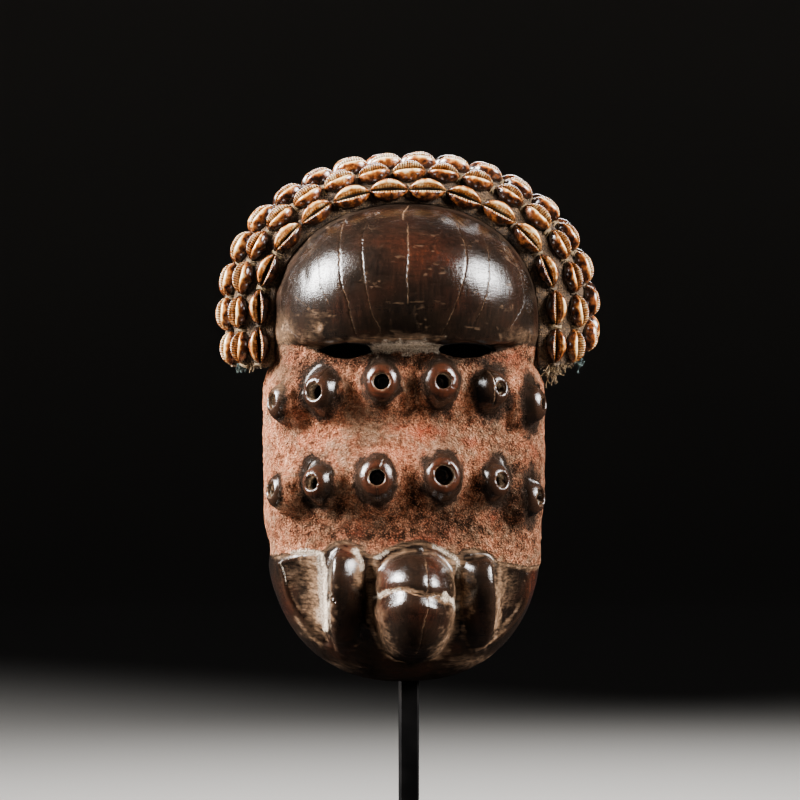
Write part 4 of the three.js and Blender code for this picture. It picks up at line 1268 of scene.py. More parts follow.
# %% Storing the finishes
def store_finishes(obj):
    mesh = obj.data
    points = places(mesh)
    z = points[:, 2]
    outside = 1 - is_inside(points)
    bend = hollowness(mesh, 4)
    patchy = np.clip(0.5 + 0.6 * grain(points, 5, 21), 0, 1)
    below_jaw = 1 - smooth(-1, 3, z - jaw_line(points[:, 0]))
    above_brow = smooth(312, 316, z)
    settled = smooth(0.015, 0.1, bend) * (0.12 + 0.45 * below_jaw) * patchy
    rim_of_jaw = np.exp(-(((z - jaw_line(points[:, 0]) + 0.6) / 1.5) ** 2)) * smooth(-83, -76, points[:, 0])
    bore = np.zeros(len(points))
    walls = np.zeros(len(points))
    ring = np.zeros(len(points))
    red = marks(points, RED_SPOTS)
    for stub, redness in zip(STUBS, RED_STUBS):
        across, up, out = stub_places(stub, points)
        radius = np.hypot(across, up)
        low = out < STUB_HEIGHT + 3
        inner = (radius < stub["hole"] + 0.45) * smooth(3, 9, out) * low
        bore = np.maximum(bore, inner)
        walls = np.maximum(walls, 0.6 * inner * (1 - smooth(9.5, 11.5, out)))
        on_ring = smooth(9.5, 12, out) * (1 - smooth(9.5, 11.5, radius)) * low
        ring = np.maximum(ring, on_ring)
        red = np.maximum(red, redness * on_ring)
    edge = np.hypot(points[:, 0] / BROW_HALF_WIDTH, np.maximum(0, z - TEMPLE_Z) / (CROWN_Z - TEMPLE_Z))
    band = smooth(0.945, 0.985, edge) * above_brow
    dust = np.maximum.reduce([
        lines(points, DUST_STROKES), marks(points, DUST_SPOTS), crack_dust(points), settled,
        0.6 * rim_of_jaw, 0.4 * bore, 0.1 * band, scuffs(points) * above_brow,
    ])
    store(mesh, "pigment", pigment_at(points) * outside)
    store(mesh, "clay", outside * np.maximum(lines(points, CLAY_STROKES), walls))
    store(mesh, "dust", outside * np.clip(dust, 0, 1))
    # Smoke stain and painted shade are stored together in one number here.
    store(mesh, "soot", outside * np.clip(marks(points, SOOT_AND_SHADE_SPOTS) * (0.65 + 0.5 * patchy), 0, 1))
    store(mesh, "ember", outside * marks(points, EMBER_SPOTS))
    store(mesh, "red", outside * red)
    store(mesh, "worn", outside * np.clip(smooth(0.02, 0.12, -bend) * 0.6 + 0.5 * ring, 0, 1))
    flank = 0.15 * bare_round_stubs(points) * (1 - ring)
    matt = np.maximum.reduce([marks(points, MATT_SPOTS), 0.9 * band, flank])
    store(mesh, "matt", outside * np.clip(matt, 0, 1))
    store(mesh, "inside", 1 - outside)
    print(f"pigment on {pigment_at(points).mean():.0%} of the points, dust on {(dust > 0.3).mean():.0%}")


store_finishes(mask)
mask.data.polygons.foreach_set("use_smooth", [True] * len(mask.data.polygons))
mask.data.set_sharp_from_angle(angle=math.radians(60))

# %% [markdown]
# ## Patterns in wood and earth
# The wood is a dense tropical one, darkened by palm oil and smoke. The face wears a crust of red
# earth and binder, rough like dried mud. The stored finishes say where each lies, and the noises
# here break them up at real sizes: fibres 2 mm apart, crumbs of 1 mm, cakes of 6 mm, stains of 26
# mm. Some are stretched upright or level, as fibres and rubbing marks are.


# %% Patterns in wood and earth
GRAIN = 1.15
FINISHES = ("pigment", "clay", "dust", "soot", "ember", "red", "worn", "matt", "inside")


def wood_patterns(tree):
    """The stored finishes and the noises that break them up, by name."""
    place = add_node(tree, PLACE).outputs["Object"]
    upright = add_node(tree, "ShaderNodeMapping", {"Vector": place, "Scale": (1, 1, 0.1)})
    level = add_node(tree, "ShaderNodeMapping", {"Vector": place, "Scale": (0.12, 0.5, 1)})
    at = SimpleNamespace()
    for name in FINISHES:
        setattr(at, name, add_node(tree, STORED, attribute_name=name).outputs["Fac"])
    for name, vector, size, detail, roughness in (
        ("fibres", upright, 2.2, 6, 0.65),
        ("scores", upright, 0.6, 2, 0.6),
        ("strokes", level, 1.3, 5, 0.7),
        ("flecks", place, 0.7, 2, 0.6),
        ("crumbs", place, 1.0, 4, 0.75),
        ("grit", place, 3.2, 3, 0.6),
        ("cakes", place, 6, 5, 0.65),
        ("patches", place, 24, 3, 0.5),
        ("stains", place, 26, 4, 0.6),
    ):
        setattr(at, name, add_node(tree, NOISE, [vector, 1 / (size * MM), detail, roughness]))
    at.grains = add_node(tree, CELLS, {"Vector": place, "Scale": 1 / (GRAIN * MM), "Randomness": 1.0})
    return at


mask_finish, mask_tree = new_material("oiled wood with red earth crust")
patterns = wood_patterns(mask_tree)
print(f"{len(mask_tree.nodes)} nodes of patterns")

# %% [markdown]
# ## Oiled wood
# Oil and smoke make this wood almost black. It turns a warm red where handling has thinned the dark,
# and short pale flecks show where the skin is scratched. Inside, where nobody oiled it, it is raw and
# a little lighter.


# %% Oiled wood
def oiled_wood(tree, at):
    """The colour of the bare wood."""
    dark = add_node(
        tree, RAMP, [at.fibres], stops=[(0.3, "#060403"), (0.55, "#120c08"), (0.78, "#26170f")],
    )
    faded = add_node(tree, RANGE, [at.patches, 0.42, 0.6, 0, 0.45])
    dark = add_node(tree, MIX, [faded, dark, "#20140d"], data_type="RGBA")
    warm = add_node(
        tree, RAMP, [at.fibres], stops=[(0.3, "#240c06"), (0.6, "#4f1f0e"), (0.8, "#763318")],
    )
    here_and_there = add_node(tree, RANGE, [at.patches, 0.55, 0.75, 0, 0.2])
    share = add_node(
        tree, MATH, [at.red, 0.95, here_and_there], operation="MULTIPLY_ADD", use_clamp=True,
    )
    rubbed = add_node(tree, RANGE, [at.strokes, 0.3, 0.6])
    share = add_node(tree, MATH, [share, rubbed], operation="MULTIPLY")
    wood = add_node(tree, MIX, [share, dark, warm], data_type="RGBA")
    worn = add_node(tree, MATH, [at.worn, 0.3], operation="MULTIPLY")
    wood = add_node(tree, MIX, [worn, wood, "#3a2518"], data_type="RGBA")
    scratched = add_node(tree, RANGE, [at.flecks, 0.68, 0.78, 0, 0.3])
    wood = add_node(tree, MIX, [scratched, wood, "#6b523f"], data_type="RGBA")
    raw = add_node(
        tree, RAMP, [at.fibres], stops=[(0.25, "#0d0906"), (0.6, "#241811"), (0.8, "#3a2a1e")],
    )
    return add_node(tree, MIX, [at.inside, wood, raw], data_type="RGBA")


bare_wood = oiled_wood(mask_tree, patterns)
print(f"{len(mask_tree.nodes)} nodes with the wood")

# %% [markdown]
# ## Red earth
# Dried earth is fully rough and never one colour: brown and grey where dirt has caked, a hotter red
# where the binder is fresh. It is painted darker between its grains, in its pits and in the dips
# between its cakes as painted shade, and darker under the stubs and the brow and towards the bottom
# and right, partly smoke stain and partly painted shade. Towards its edges it thins out to a dark skin.


# %% Red earth
def red_earth(tree, at):
    """The colour of the crust of earth pigment."""
    earth = add_node(
        tree, RAMP, [at.grit],
        stops=[(0.28, "#a85f42"), (0.42, "#c67a57"), (0.56, "#dc936c"), (0.7, "#e8a883")],
    )
    # Painted shade: darker between the grains, in the pits and in the dips between the cakes, where tiny
    # shadows would fall.
    crevice_shade = add_node(tree, RANGE, [at.grains, 0.38, 0.75, 0, 0.65])
    earth = add_node(tree, MIX, [crevice_shade, earth, "#552e20"], data_type="RGBA")
    pits = add_node(tree, RANGE, [at.crumbs, 0.44, 0.35, 0, 0.8])
    earth = add_node(tree, MIX, [pits, earth, "#2c170f"], data_type="RGBA")
    dip_shade = add_node(tree, RANGE, [at.cakes, 0.5, 0.32, 0, 0.8])
    earth = add_node(tree, MIX, [dip_shade, earth, "#4a2819"], data_type="RGBA")
    dirt = add_node(
        tree, RAMP, [at.grit], stops=[(0.3, "#55402f"), (0.46, "#7a5f49"), (0.64, "#9c7f66")],
    )
    grime = add_node(tree, MATH, [at.cakes, 0.5], operation="MULTIPLY")
    grime = add_node(tree, MATH, [at.stains, 0.6, grime], operation="MULTIPLY_ADD")
    grime = add_node(tree, RANGE, [grime, 0.52, 0.64, 0, 0.8])
    earth = add_node(tree, MIX, [grime, earth, dirt], data_type="RGBA")
    fresh = add_node(tree, RANGE, [at.cakes, 0.38, 0.58, 0.12, 0.8])
    fresh = add_node(tree, MATH, [at.ember, fresh], operation="MULTIPLY")
    hot = add_node(
        tree, RAMP, [at.crumbs], stops=[(0.34, "#52170c"), (0.5, "#ac4026"), (0.66, "#d96c48")],
    )
    earth = add_node(tree, MIX, [fresh, earth, hot], data_type="RGBA")
    # Painted shade together with smoke stain: darker under the brow and the stubs and towards the bottom and
    # right, most between the grains and in the dips.
    shade_between_grains = add_node(tree, RANGE, [at.grains, 0.15, 0.6, 0.75, 1.4])
    sooty_and_shaded = add_node(tree, MATH, [at.soot, shade_between_grains], operation="MULTIPLY", use_clamp=True)
    shade_in_dips = add_node(tree, RANGE, [at.cakes, 0.3, 0.62, 1.2, 0.75])
    sooty_and_shaded = add_node(tree, MATH, [sooty_and_shaded, shade_in_dips], operation="MULTIPLY", use_clamp=True)
    earth = add_node(tree, MIX, [sooty_and_shaded, earth, "#26170f"], data_type="RGBA")
    thick = add_node(tree, MATH, [at.cakes, 0.5, at.pigment], operation="MULTIPLY_ADD")
    thin = add_node(tree, RANGE, [thick, 0.7, 1.2, 0.9, 0])
    skin = add_node(tree, RAMP, [at.crumbs], stops=[(0.35, "#120c0a"), (0.62, "#4a3a30")])
    return add_node(tree, MIX, [thin, earth, skin], data_type="RGBA")


earth_crust = red_earth(mask_tree, patterns)
print(f"{len(mask_tree.nodes)} nodes with the earth")

# %% [markdown]
# ## What covers what
# The stored numbers fade softly, but a crust breaks off raggedly and dust catches on scratches. So
# each number is multiplied by a noise and then pushed to all or nothing. Earth covers the wood, dust
# lies on both, and pale clay is packed over them in the deepest lines.


# %% What covers what
def covers(tree, at):
    """How much of the surface earth, dust and clay take, added to the patterns by name."""
    ragged = add_node(tree, MATH, [at.crumbs, 0.5], operation="SUBTRACT")
    at_the_edge = add_node(tree, RANGE, [at.pigment, 0.02, 0.25, 0, 2.6])
    covered = add_node(tree, MATH, [ragged, at_the_edge, at.pigment], operation="MULTIPLY_ADD")
    at.covered = add_node(tree, RANGE, [covered, 0.22, 0.72])
    streaks = add_node(tree, RANGE, [at.strokes, 0.36, 0.62, 0.25, 1.5])
    dusty = add_node(tree, MATH, [at.dust, streaks], operation="MULTIPLY")
    at.dusty = add_node(tree, RANGE, [dusty, 0.06, 0.85, 0, 0.9])
    lumps = add_node(tree, RANGE, [at.crumbs, 0.38, 0.56, 0.6, 1.3])
    chalky = add_node(tree, MATH, [at.clay, lumps], operation="MULTIPLY")
    at.chalky = add_node(tree, RANGE, [chalky, 0.15, 0.75])


def mask_colour(tree, at, wood, earth):
    """Wood, earth, dust and clay in layers."""
    surface = add_node(tree, MIX, [at.covered, wood, earth], data_type="RGBA")
    powder = add_node(
        tree, RAMP, [at.cakes], stops=[(0.35, "#564130"), (0.55, "#87684e"), (0.7, "#ad8d72")],
    )
    surface = add_node(tree, MIX, [at.dusty, surface, powder], data_type="RGBA")
    chalk = add_node(tree, RAMP, [at.crumbs], stops=[(0.34, "#a58a70"), (0.6, "#f0dcc4")])
    return add_node(tree, MIX, [at.chalky, surface, chalk], data_type="RGBA")


covers(mask_tree, patterns)
mask_paint = mask_colour(mask_tree, patterns, bare_wood, earth_crust)
print(f"{len(mask_tree.nodes)} nodes with dust and clay")

# %% [markdown]
# ## Shine and roughness
# Rubbed wood has an IOR near 1.5 and a roughness of 0.3 to 0.5 under a thin film of old oil, which is
# the coat here. The film is gone where earth, dust or clay lie, and wherever hands don't reach.


# %% Shine and roughness
def mask_shine(tree, at):
    """The roughness of the surface, and how much oily film is on it."""
    cover = add_node(tree, MATH, [at.covered, at.dusty], operation="MAXIMUM")
    for other in (at.chalky, at.inside):
        cover = add_node(tree, MATH, [cover, other], operation="MAXIMUM")
    untouched = add_node(tree, MATH, [at.matt, 0.8], operation="MULTIPLY")
    untouched = add_node(tree, MATH, [cover, untouched], operation="MAXIMUM")
    rubbed = add_node(tree, RANGE, [at.strokes, 0.35, 0.75, 0.3, 0.5])
    rough = add_node(tree, MIX, [untouched, rubbed, 0.94], data_type="FLOAT")
    film = add_node(tree, MATH, [1, cover], operation="SUBTRACT", use_clamp=True)
    for pattern, low, high, at_low, at_high in (
        (at.matt, 0, 0.8, 1, 0),
        (at.pigment, 0.02, 0.2, 1, 0),
        (at.strokes, 0.33, 0.5, 0.5, 1),
        (at.flecks, 0.6, 0.72, 1, 0.2),
    ):
        share = add_node(tree, RANGE, [pattern, low, high, at_low, at_high])
        film = add_node(tree, MATH, [film, share], operation="MULTIPLY")
    return rough, film


mask_rough, oil_film = mask_shine(mask_tree, patterns)
print(f"{len(mask_tree.nodes)} nodes with the shine")

# %% [markdown]
# ## Small relief
# What is too fine for the mesh is a bump: the earth's cakes, grit, grains and crumbs first, then the
# wood's fibres, rubbing marks and scores on top. The sum is kept around zero where the crust ends, so
# its edge isn't a wall. The coat takes the same normal, or its highlight would float over the marks.


# %% Small relief
def mask_relief(tree, at):
    """The bent normal that shows crust and scratches."""
    height = add_node(tree, MATH, [at.grains, -0.7, -1.5], operation="MULTIPLY_ADD")
    height = add_node(tree, MATH, [at.crumbs, 0.5, height], operation="MULTIPLY_ADD")
    height = add_node(tree, MATH, [at.grit, 1.1, height], operation="MULTIPLY_ADD")
    height = add_node(tree, MATH, [at.cakes, 3.4, height], operation="MULTIPLY_ADD")
    thick = add_node(tree, MATH, [at.chalky, 0.5], operation="MULTIPLY")
    thick = add_node(tree, MATH, [at.covered, thick], operation="MAXIMUM")
    height = add_node(tree, MATH, [height, thick], operation="MULTIPLY")
    crust = add_node(tree, BUMP, {"Height": height, "Strength": 1.0, "Distance": 1.9 * MM})
    marks = add_node(tree, MATH, [at.scores, 0.5, at.strokes], operation="MULTIPLY_ADD")
    marks = add_node(tree, MATH, [at.fibres, marks], operation="ADD")
    return add_node(
        tree, BUMP, {"Height": marks, "Strength": 0.8, "Distance": 0.18 * MM, "Normal": crust},
    )


mask_normal = mask_relief(mask_tree, patterns)
mask_shader = add_node(
    mask_tree, SHADER,
    {
        "Base Color": mask_paint,
        "Roughness": mask_rough,
        "IOR": 1.5,
        "Specular IOR Level": 0.1,
        "Specular Tint": "#e8bd9c",
        "Coat Weight": oil_film,
        "Coat IOR": 1.62,
        "Coat Roughness": 0.11,
        "Normal": mask_normal,
        "Coat Normal": mask_normal,
    },
)
add_node(mask_tree, OUTPUT, {"Surface": mask_shader})
print(f"{mask_finish.name}: {len(mask_tree.nodes)} nodes in all")

mask.data.materials.clear()
mask.data.materials.append(mask_finish)
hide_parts("wood_mask")
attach(mask, "root")

# %% [markdown]
# ## The headdress in numbers
# The headdress is a padded roll of coarse cloth that follows the edge of the forehead, and runs back
# into a closed cap. It isn't even: the roll is thicker on the viewer's right. Cowries are sewn on it in
# rows, end to end with the mouth out. A row is placed by its turn round the roll. Past the widest ring
# the same turn goes on as a length along the cap.

# %% The headdress in numbers
HEM_Z = 303
ROLL_RADIUS, ROLL_INSET, ROLL_FRONT = 31, 6.5, 22
ROLL_START = math.radians(13.8)
ROLL_AXIS_Y = RIM_Y - ROLL_FRONT + ROLL_RADIUS * math.cos(ROLL_START)
SPREAD_LEFT, SPREAD_RIGHT, SPREAD_TOP, SPREAD_LIFT = 1.1, 1.33, 0.97, 0.2
CAP_DEPTH = 52
CAP_ROW_RADIUS = 36
FIRST_ROW_TURN, ROW_STEP = math.radians(25), math.radians(24.5)
ROW_COUNTS = [14, 17, 18, 18, 16]
ROW_ENDS_SHORT = [0, 1, 8, 12, 8]
SHELL_LIFT, SHELL_FACING, SHELL_LEAN = 0.5, 1.22, 0.12
TUCK = 5


def roll_out(turn):
    return -ROLL_INSET + ROLL_RADIUS * math.sin(turn)


def arch(out, shrink=1, bottom=HEM_Z, steps=240):
    """Even points in x and z over the crown, with straight sides down to the hem, and its length."""
    left = (BROW_HALF_WIDTH + out * SPREAD_LEFT) * shrink
    right = (BROW_HALF_WIDTH + out * SPREAD_RIGHT) * shrink
    angle = np.linspace(0, np.pi, 400)
    aside = np.abs(np.cos(angle)) ** (2 / BROW_POWER)
    rise = np.clip(np.sin(angle), 0, 1) ** (2 / BROW_POWER)
    on_right = angle > np.pi / 2
    tall = (CROWN_Z - TEMPLE_Z + out * (SPREAD_TOP + SPREAD_LIFT * aside * on_right)) * shrink
    x = np.where(on_right, right * aside, -left * aside)
    line = np.concatenate([[[-left, bottom]], np.stack([x, TEMPLE_Z + tall * rise], -1), [[right, bottom]]])
    along = np.concatenate([[0], np.cumsum(np.linalg.norm(np.diff(line, axis=0), axis=1))])
    even = np.linspace(0, along[-1], steps + 1)
    return np.stack([np.interp(even, along, line[:, 0]), np.interp(even, along, line[:, 1])], -1), along[-1]


def roll_place(turn):
    """How far a ring lies out of the mask's edge, its depth and shrink, and its normal's lean."""
    if turn <= math.pi / 2:
        y = ROLL_AXIS_Y - ROLL_RADIUS * math.cos(turn)
        return roll_out(turn), y, 1, math.cos(turn) * SHELL_FACING + SHELL_LEAN, math.sin(turn)
    out = roll_out(math.pi / 2)
    t = math.asin(min(1, (turn - math.pi / 2) * CAP_ROW_RADIUS / CAP_DEPTH))
    lean = np.array([math.cos(t) / (BROW_HALF_WIDTH + out), math.sin(t) / CAP_DEPTH])
    lean /= np.linalg.norm(lean)
    return out, ROLL_AXIS_Y + CAP_DEPTH * math.sin(t), math.cos(t), -lean[1], lean[0]


def tucked(points):
    """Draws the outer part of the lower edge inwards, as the sewn edge pulls the padding in."""
    share = smooth(0.3, 1, (np.abs(points[:, 0]) - BROW_HALF_WIDTH) / 30)
    low = 1 - smooth(HEM_Z + 2, HEM_Z + 28, points[:, 2])
    return points - np.stack([np.sign(points[:, 0]) * TUCK * share * low, 0 * low, 0 * low], -1)


def seats(turn, count, shares, short=0):
    """Points on the cloth along one row, with the row's direction and the way out at each."""
    out, y, shrink, back, away = roll_place(turn)
    line, length = arch(out, shrink)
    s = np.asarray(shares) * (len(line) - 1) / count * (1 - short / length)
    i = np.clip(s.astype(int), 0, len(line) - 2)
    spot = line[i] + (line[i + 1] - line[i]) * (s - i)[:, None]
    tangent = line[i + 1] - line[i]
    tangent /= np.linalg.norm(tangent, axis=1)[:, None]
    along = np.stack([tangent[:, 0], np.zeros(len(s)), tangent[:, 1]], -1)
    normal = np.stack([-tangent[:, 1] * away, np.full(len(s), -back), tangent[:, 0] * away], -1)
    normal /= np.linalg.norm(normal, axis=1)[:, None]
    spots = tucked(np.stack([spot[:, 0], np.full(len(s), y), spot[:, 1]], -1))
    return spots, along, normal, length / count


ROW_TURNS = [FIRST_ROW_TURN + i * ROW_STEP for i in range(len(ROW_COUNTS))]
ROWS = list(zip(ROW_TURNS, ROW_COUNTS, ROW_ENDS_SHORT))
for row, (turn, count, short) in enumerate(ROWS, 1):
    print(f"row {row}: {count} shells, {seats(turn, count, [0.5], short)[3]:.1f} mm apart")

# %% [markdown]
# ## The cloth
# The cloth is padded and sewn through wherever two shells meet, so it puffs up between. It is
# lofted over the roll and the cap, opened by a smaller loft from below and in front, then remeshed
# so that its hem comes out soft. In front its lip is drawn in to the forehead, so no dark gap
# opens. The puffs are short steps away from each stitch, quicker than a cloth simulation.

# %% The cloth
CLOTH_THICK = 6
CLOTH_FIT, LIP_FIT = 1, -1.7
CLOTH_START = math.radians(9.3)
CLOTH_VOXEL = 1.5
PUFF = 1.1
HEM_LIFT_LEFT, HEM_LIFT_RIGHT = 7, 11
# Depths over which the cap's inside turns to painted shade.
LINING_SHADE_EDGE = (RIM_Y - 15, RIM_Y - 6)


def cloth_ring(out, y, bottom=HEM_Z, shrink=1):
    line, _ = arch(out, shrink, bottom, steps=150)
    return np.stack([line[:, 0], np.full(len(line), y), line[:, 1]], -1)


def cloth_body():
    widest = roll_out(math.pi / 2)
    outer = []
    for turn in np.linspace(CLOTH_START, math.pi / 2, 17):
        outer.append(cloth_ring(roll_out(turn), ROLL_AXIS_Y - ROLL_RADIUS * math.cos(turn)))
    for t in np.radians(np.linspace(5, 87, 16)):
        outer.append(cloth_ring(widest, ROLL_AXIS_Y + CAP_DEPTH * math.sin(t), shrink=math.cos(t)))
    below = HEM_Z - 5
    inner = [
        cloth_ring(LIP_FIT, RIM_Y - ROLL_FRONT - 3, below),
        cloth_ring(LIP_FIT + 0.3, RIM_Y - ROLL_FRONT + 3, below),
        cloth_ring(CLOTH_FIT - 0.5, RIM_Y - 10, below),
        cloth_ring(CLOTH_FIT, RIM_Y + 0.5, below),
        cloth_ring(widest - CLOTH_THICK - 4, RIM_Y + 6, below),
        cloth_ring(widest - CLOTH_THICK, ROLL_AXIS_Y + 2, below),
    ]
    for t in np.radians(np.linspace(10, 84, 10)):
        y = ROLL_AXIS_Y + 2 + (CAP_DEPTH - CLOTH_THICK - 2) * math.sin(t)
        inner.append(cloth_ring(widest - CLOTH_THICK, y, below, math.cos(t)))
    body = loft("headdress_cloth", outer)
    cut(body, loft("lining", inner))
    return body


def stitch_points():
    """Where the shells of each row meet, which is where the thread goes through the cloth."""
    return np.concatenate([seats(turn, n, np.arange(n + 1), short)[0] for turn, n, short in ROWS])


def nearest_distance(points, targets, reach):
    """Distance from each point to the nearest target, up to the reach."""
    best = np.full(len(points), float(reach))
    for target in targets:
        near = np.abs(points - target).max(axis=1) < reach
        best[near] = np.minimum(best[near], np.linalg.norm(points[near] - target, axis=1))
    return best


cloth = cloth_body()
melt = cloth.modifiers.new("melt", "REMESH")
melt.mode = "VOXEL"
melt.voxel_size = CLOTH_VOXEL * MM
apply_modifiers(cloth)
soften(cloth, 3)
move_to(cloth.data, tucked(places(cloth.data)))
weave_points = places(cloth.data)
pulled = nearest_distance(weave_points, stitch_points(), 9)
puff = PUFF * smooth(0, 8, pulled) - 0.6
puff += 0.5 * grain(weave_points, 8, 41) + 0.25 * grain(weave_points, 3, 44)
way_out = weave_points - [0, RIM_Y, 300]
way_out /= np.linalg.norm(way_out, axis=1)[:, None]
lining = 1 - smooth(-0.8, -0.35, np.einsum("ij,ij->i", way_out, normals(cloth.data)))
puffed = weave_points + normals(cloth.data) * (puff * (1 - lining))[:, None]
hem_width = np.where(puffed[:, 0] > 0, puffed[:, 0].max(), -puffed[:, 0].min())
outermost = smooth(0.55, 1, (np.abs(puffed[:, 0]) - BROW_HALF_WIDTH) / (hem_width - BROW_HALF_WIDTH))
rounding = np.where(puffed[:, 0] > 0, HEM_LIFT_RIGHT, HEM_LIFT_LEFT) * outermost + 1.5 * grain(puffed, 6, 47)
puffed[:, 2] += rounding * (1 - smooth(HEM_Z - 1, HEM_Z + 22, puffed[:, 2]))
move_to(cloth.data, puffed)
store(cloth.data, "pulled", 1 - smooth(1, 7, pulled))
# The cap's inside is stored here to be painted nearly black: painted shade, so the eye slits read dark.
store(cloth.data, "lining", lining * smooth(*LINING_SHADE_EDGE, puffed[:, 1]))
cloth.data.polygons.foreach_set("use_smooth", [True] * len(cloth.data.polygons))
print(f"cloth of {len(cloth.data.polygons)} faces")

# %% [markdown]
# ## One cowrie
# A money cowrie sewn mouth out shows its flat underside: a long slit between a broad lip and a
# narrow one, with teeth that run down into it as short ribs. A section with the slit in it is swept
# from tip to tip, and the ribs are steps in its height. Three builds of shell are enough for
# eighty-three that never match.

# %% One cowrie
SHELL_LENGTH, SHELL_WIDTH, SHELL_HEIGHT = 22, 13.9, 7.8
TOOTH_SPACING = 1.5
SHELL_SECTION = [
    (-0.86, 0), (-0.98, 0.14), (-1, 0.3), (-0.95, 0.5), (-0.85, 0.72), (-0.7, 0.89), (-0.54, 0.95),
    (-0.43, 0.9), (-0.34, 0.78), (-0.27, 0.5), (-0.22, 0.12), (0, 0.12), (0.05, 0.5),
    (0.13, 0.78), (0.25, 0.93), (0.42, 1), (0.58, 0.97), (0.74, 0.85), (0.87, 0.66), (0.96, 0.45),
    (1, 0.28), (0.98, 0.13), (0.86, 0),
]
SLIT_AT = -0.11


def cowrie(name, slit=1.0, plump=1.0, bow=0.06):
    """A shell lying along x with its mouth up, its broad lip towards +y."""
    section = through(SHELL_SECTION, 2)
    reach = np.sin(np.linspace(-np.pi / 2, np.pi / 2, 86))[1:-1]
    reach = 0.3 * reach + 0.7 * np.linspace(-0.985, 0.985, 84)
    rings, finish = [], []
    across, up = section.T
    narrow = smooth(-0.66, -0.46, across) * (1 - smooth(-0.22, -0.16, across))
    broad = 0.85 * smooth(-0.05, 0.0, across) * (1 - smooth(0.1, 0.26, across))
    for u in reach:
        x = u * SHELL_LENGTH / 2
        wide = SHELL_WIDTH / 2 * (1 - abs(u) ** (2.0 if u < 0 else 1.75)) ** 0.72
        tall = SHELL_HEIGHT * plump * (1 - abs(u) ** 2.6) ** 0.6
        tooth = 0.5 - 0.5 * math.cos(2 * np.pi * x / TOOTH_SPACING)
        ribs = tooth * (narrow + 0.9 * broad) * (1 - abs(u) ** 6)
        mouth = np.exp(-(((across - SLIT_AT) / 0.13) ** 2))
        open_slit = across + np.sign(across - SLIT_AT) * mouth * 0.075 * (slit - 1)
        y = wide * (open_slit + bow * (1 - u * u) * (1 - across**2))
        z = tall * up - 0.7 * ribs * up
        rings.append(np.stack([np.full_like(y, x), y, z], -1))
        # The slit is painted nearly black as painted shade, and the crest lighter, partly the shell's cream
        # and partly a painted highlight.
        depth = np.exp(-(((across - SLIT_AT) / 0.135) ** 4))
        crest = np.exp(-(((across - 0.45) / 0.26) ** 2)) * (1 - abs(u) ** 3)
        rim = 1 - smooth(0.15, 0.75, up)
        lips = np.maximum(narrow, 0.9 * broad)
        finish.append(np.stack([depth, crest, tooth * (narrow + 0.9 * broad), lips, rim], -1))
    obj = loft(name, np.array(rings) - [MASK_X, 0, 0])
    values = np.array(finish).reshape(-1, 5).T
    for attribute, value in zip(("slit", "crest", "rib", "lips", "rim"), values):
        store(obj.data, attribute, value)
    obj.data.polygons.foreach_set("use_smooth", [True] * len(obj.data.polygons))
    return obj


def hidden_set(name, objects):
    """A collection that the scene doesn't show, for pieces that are only copied from."""
    collection = bpy.data.collections.new(name)
    for obj in objects:
        bpy.context.scene.collection.objects.unlink(obj)
        collection.objects.link(obj)
    return collection


shells = hidden_set("shells", [
    cowrie("shell a", slit=2.2),
    cowrie("shell b", slit=3.4, plump=0.94, bow=0.08),
    cowrie("shell c", slit=2.8, plump=1.04, bow=0.03),
])

# %% [markdown]
# ## Sewing them on
# Geometry Nodes copy the shells onto the seats of each row. Every seat carries its direction along
# the row and its way out of the cloth, which together turn the copy. A small seeded wobble and a
# change in size make the sewing look done by hand. The same tree later sets knots and loose fibres.


# %% Sewing them on
SCATTER_SOCKETS = {
    "Geometry": "NodeSocketGeometry",
    "Copies of": "NodeSocketCollection",
    "Kinds": "NodeSocketInt",
    "Wobble": "NodeSocketFloat",
    "Smallest": "NodeSocketFloat",
    "Largest": "NodeSocketFloat",
    "Seed": "NodeSocketInt",
    "Material": "NodeSocketMaterial",
}


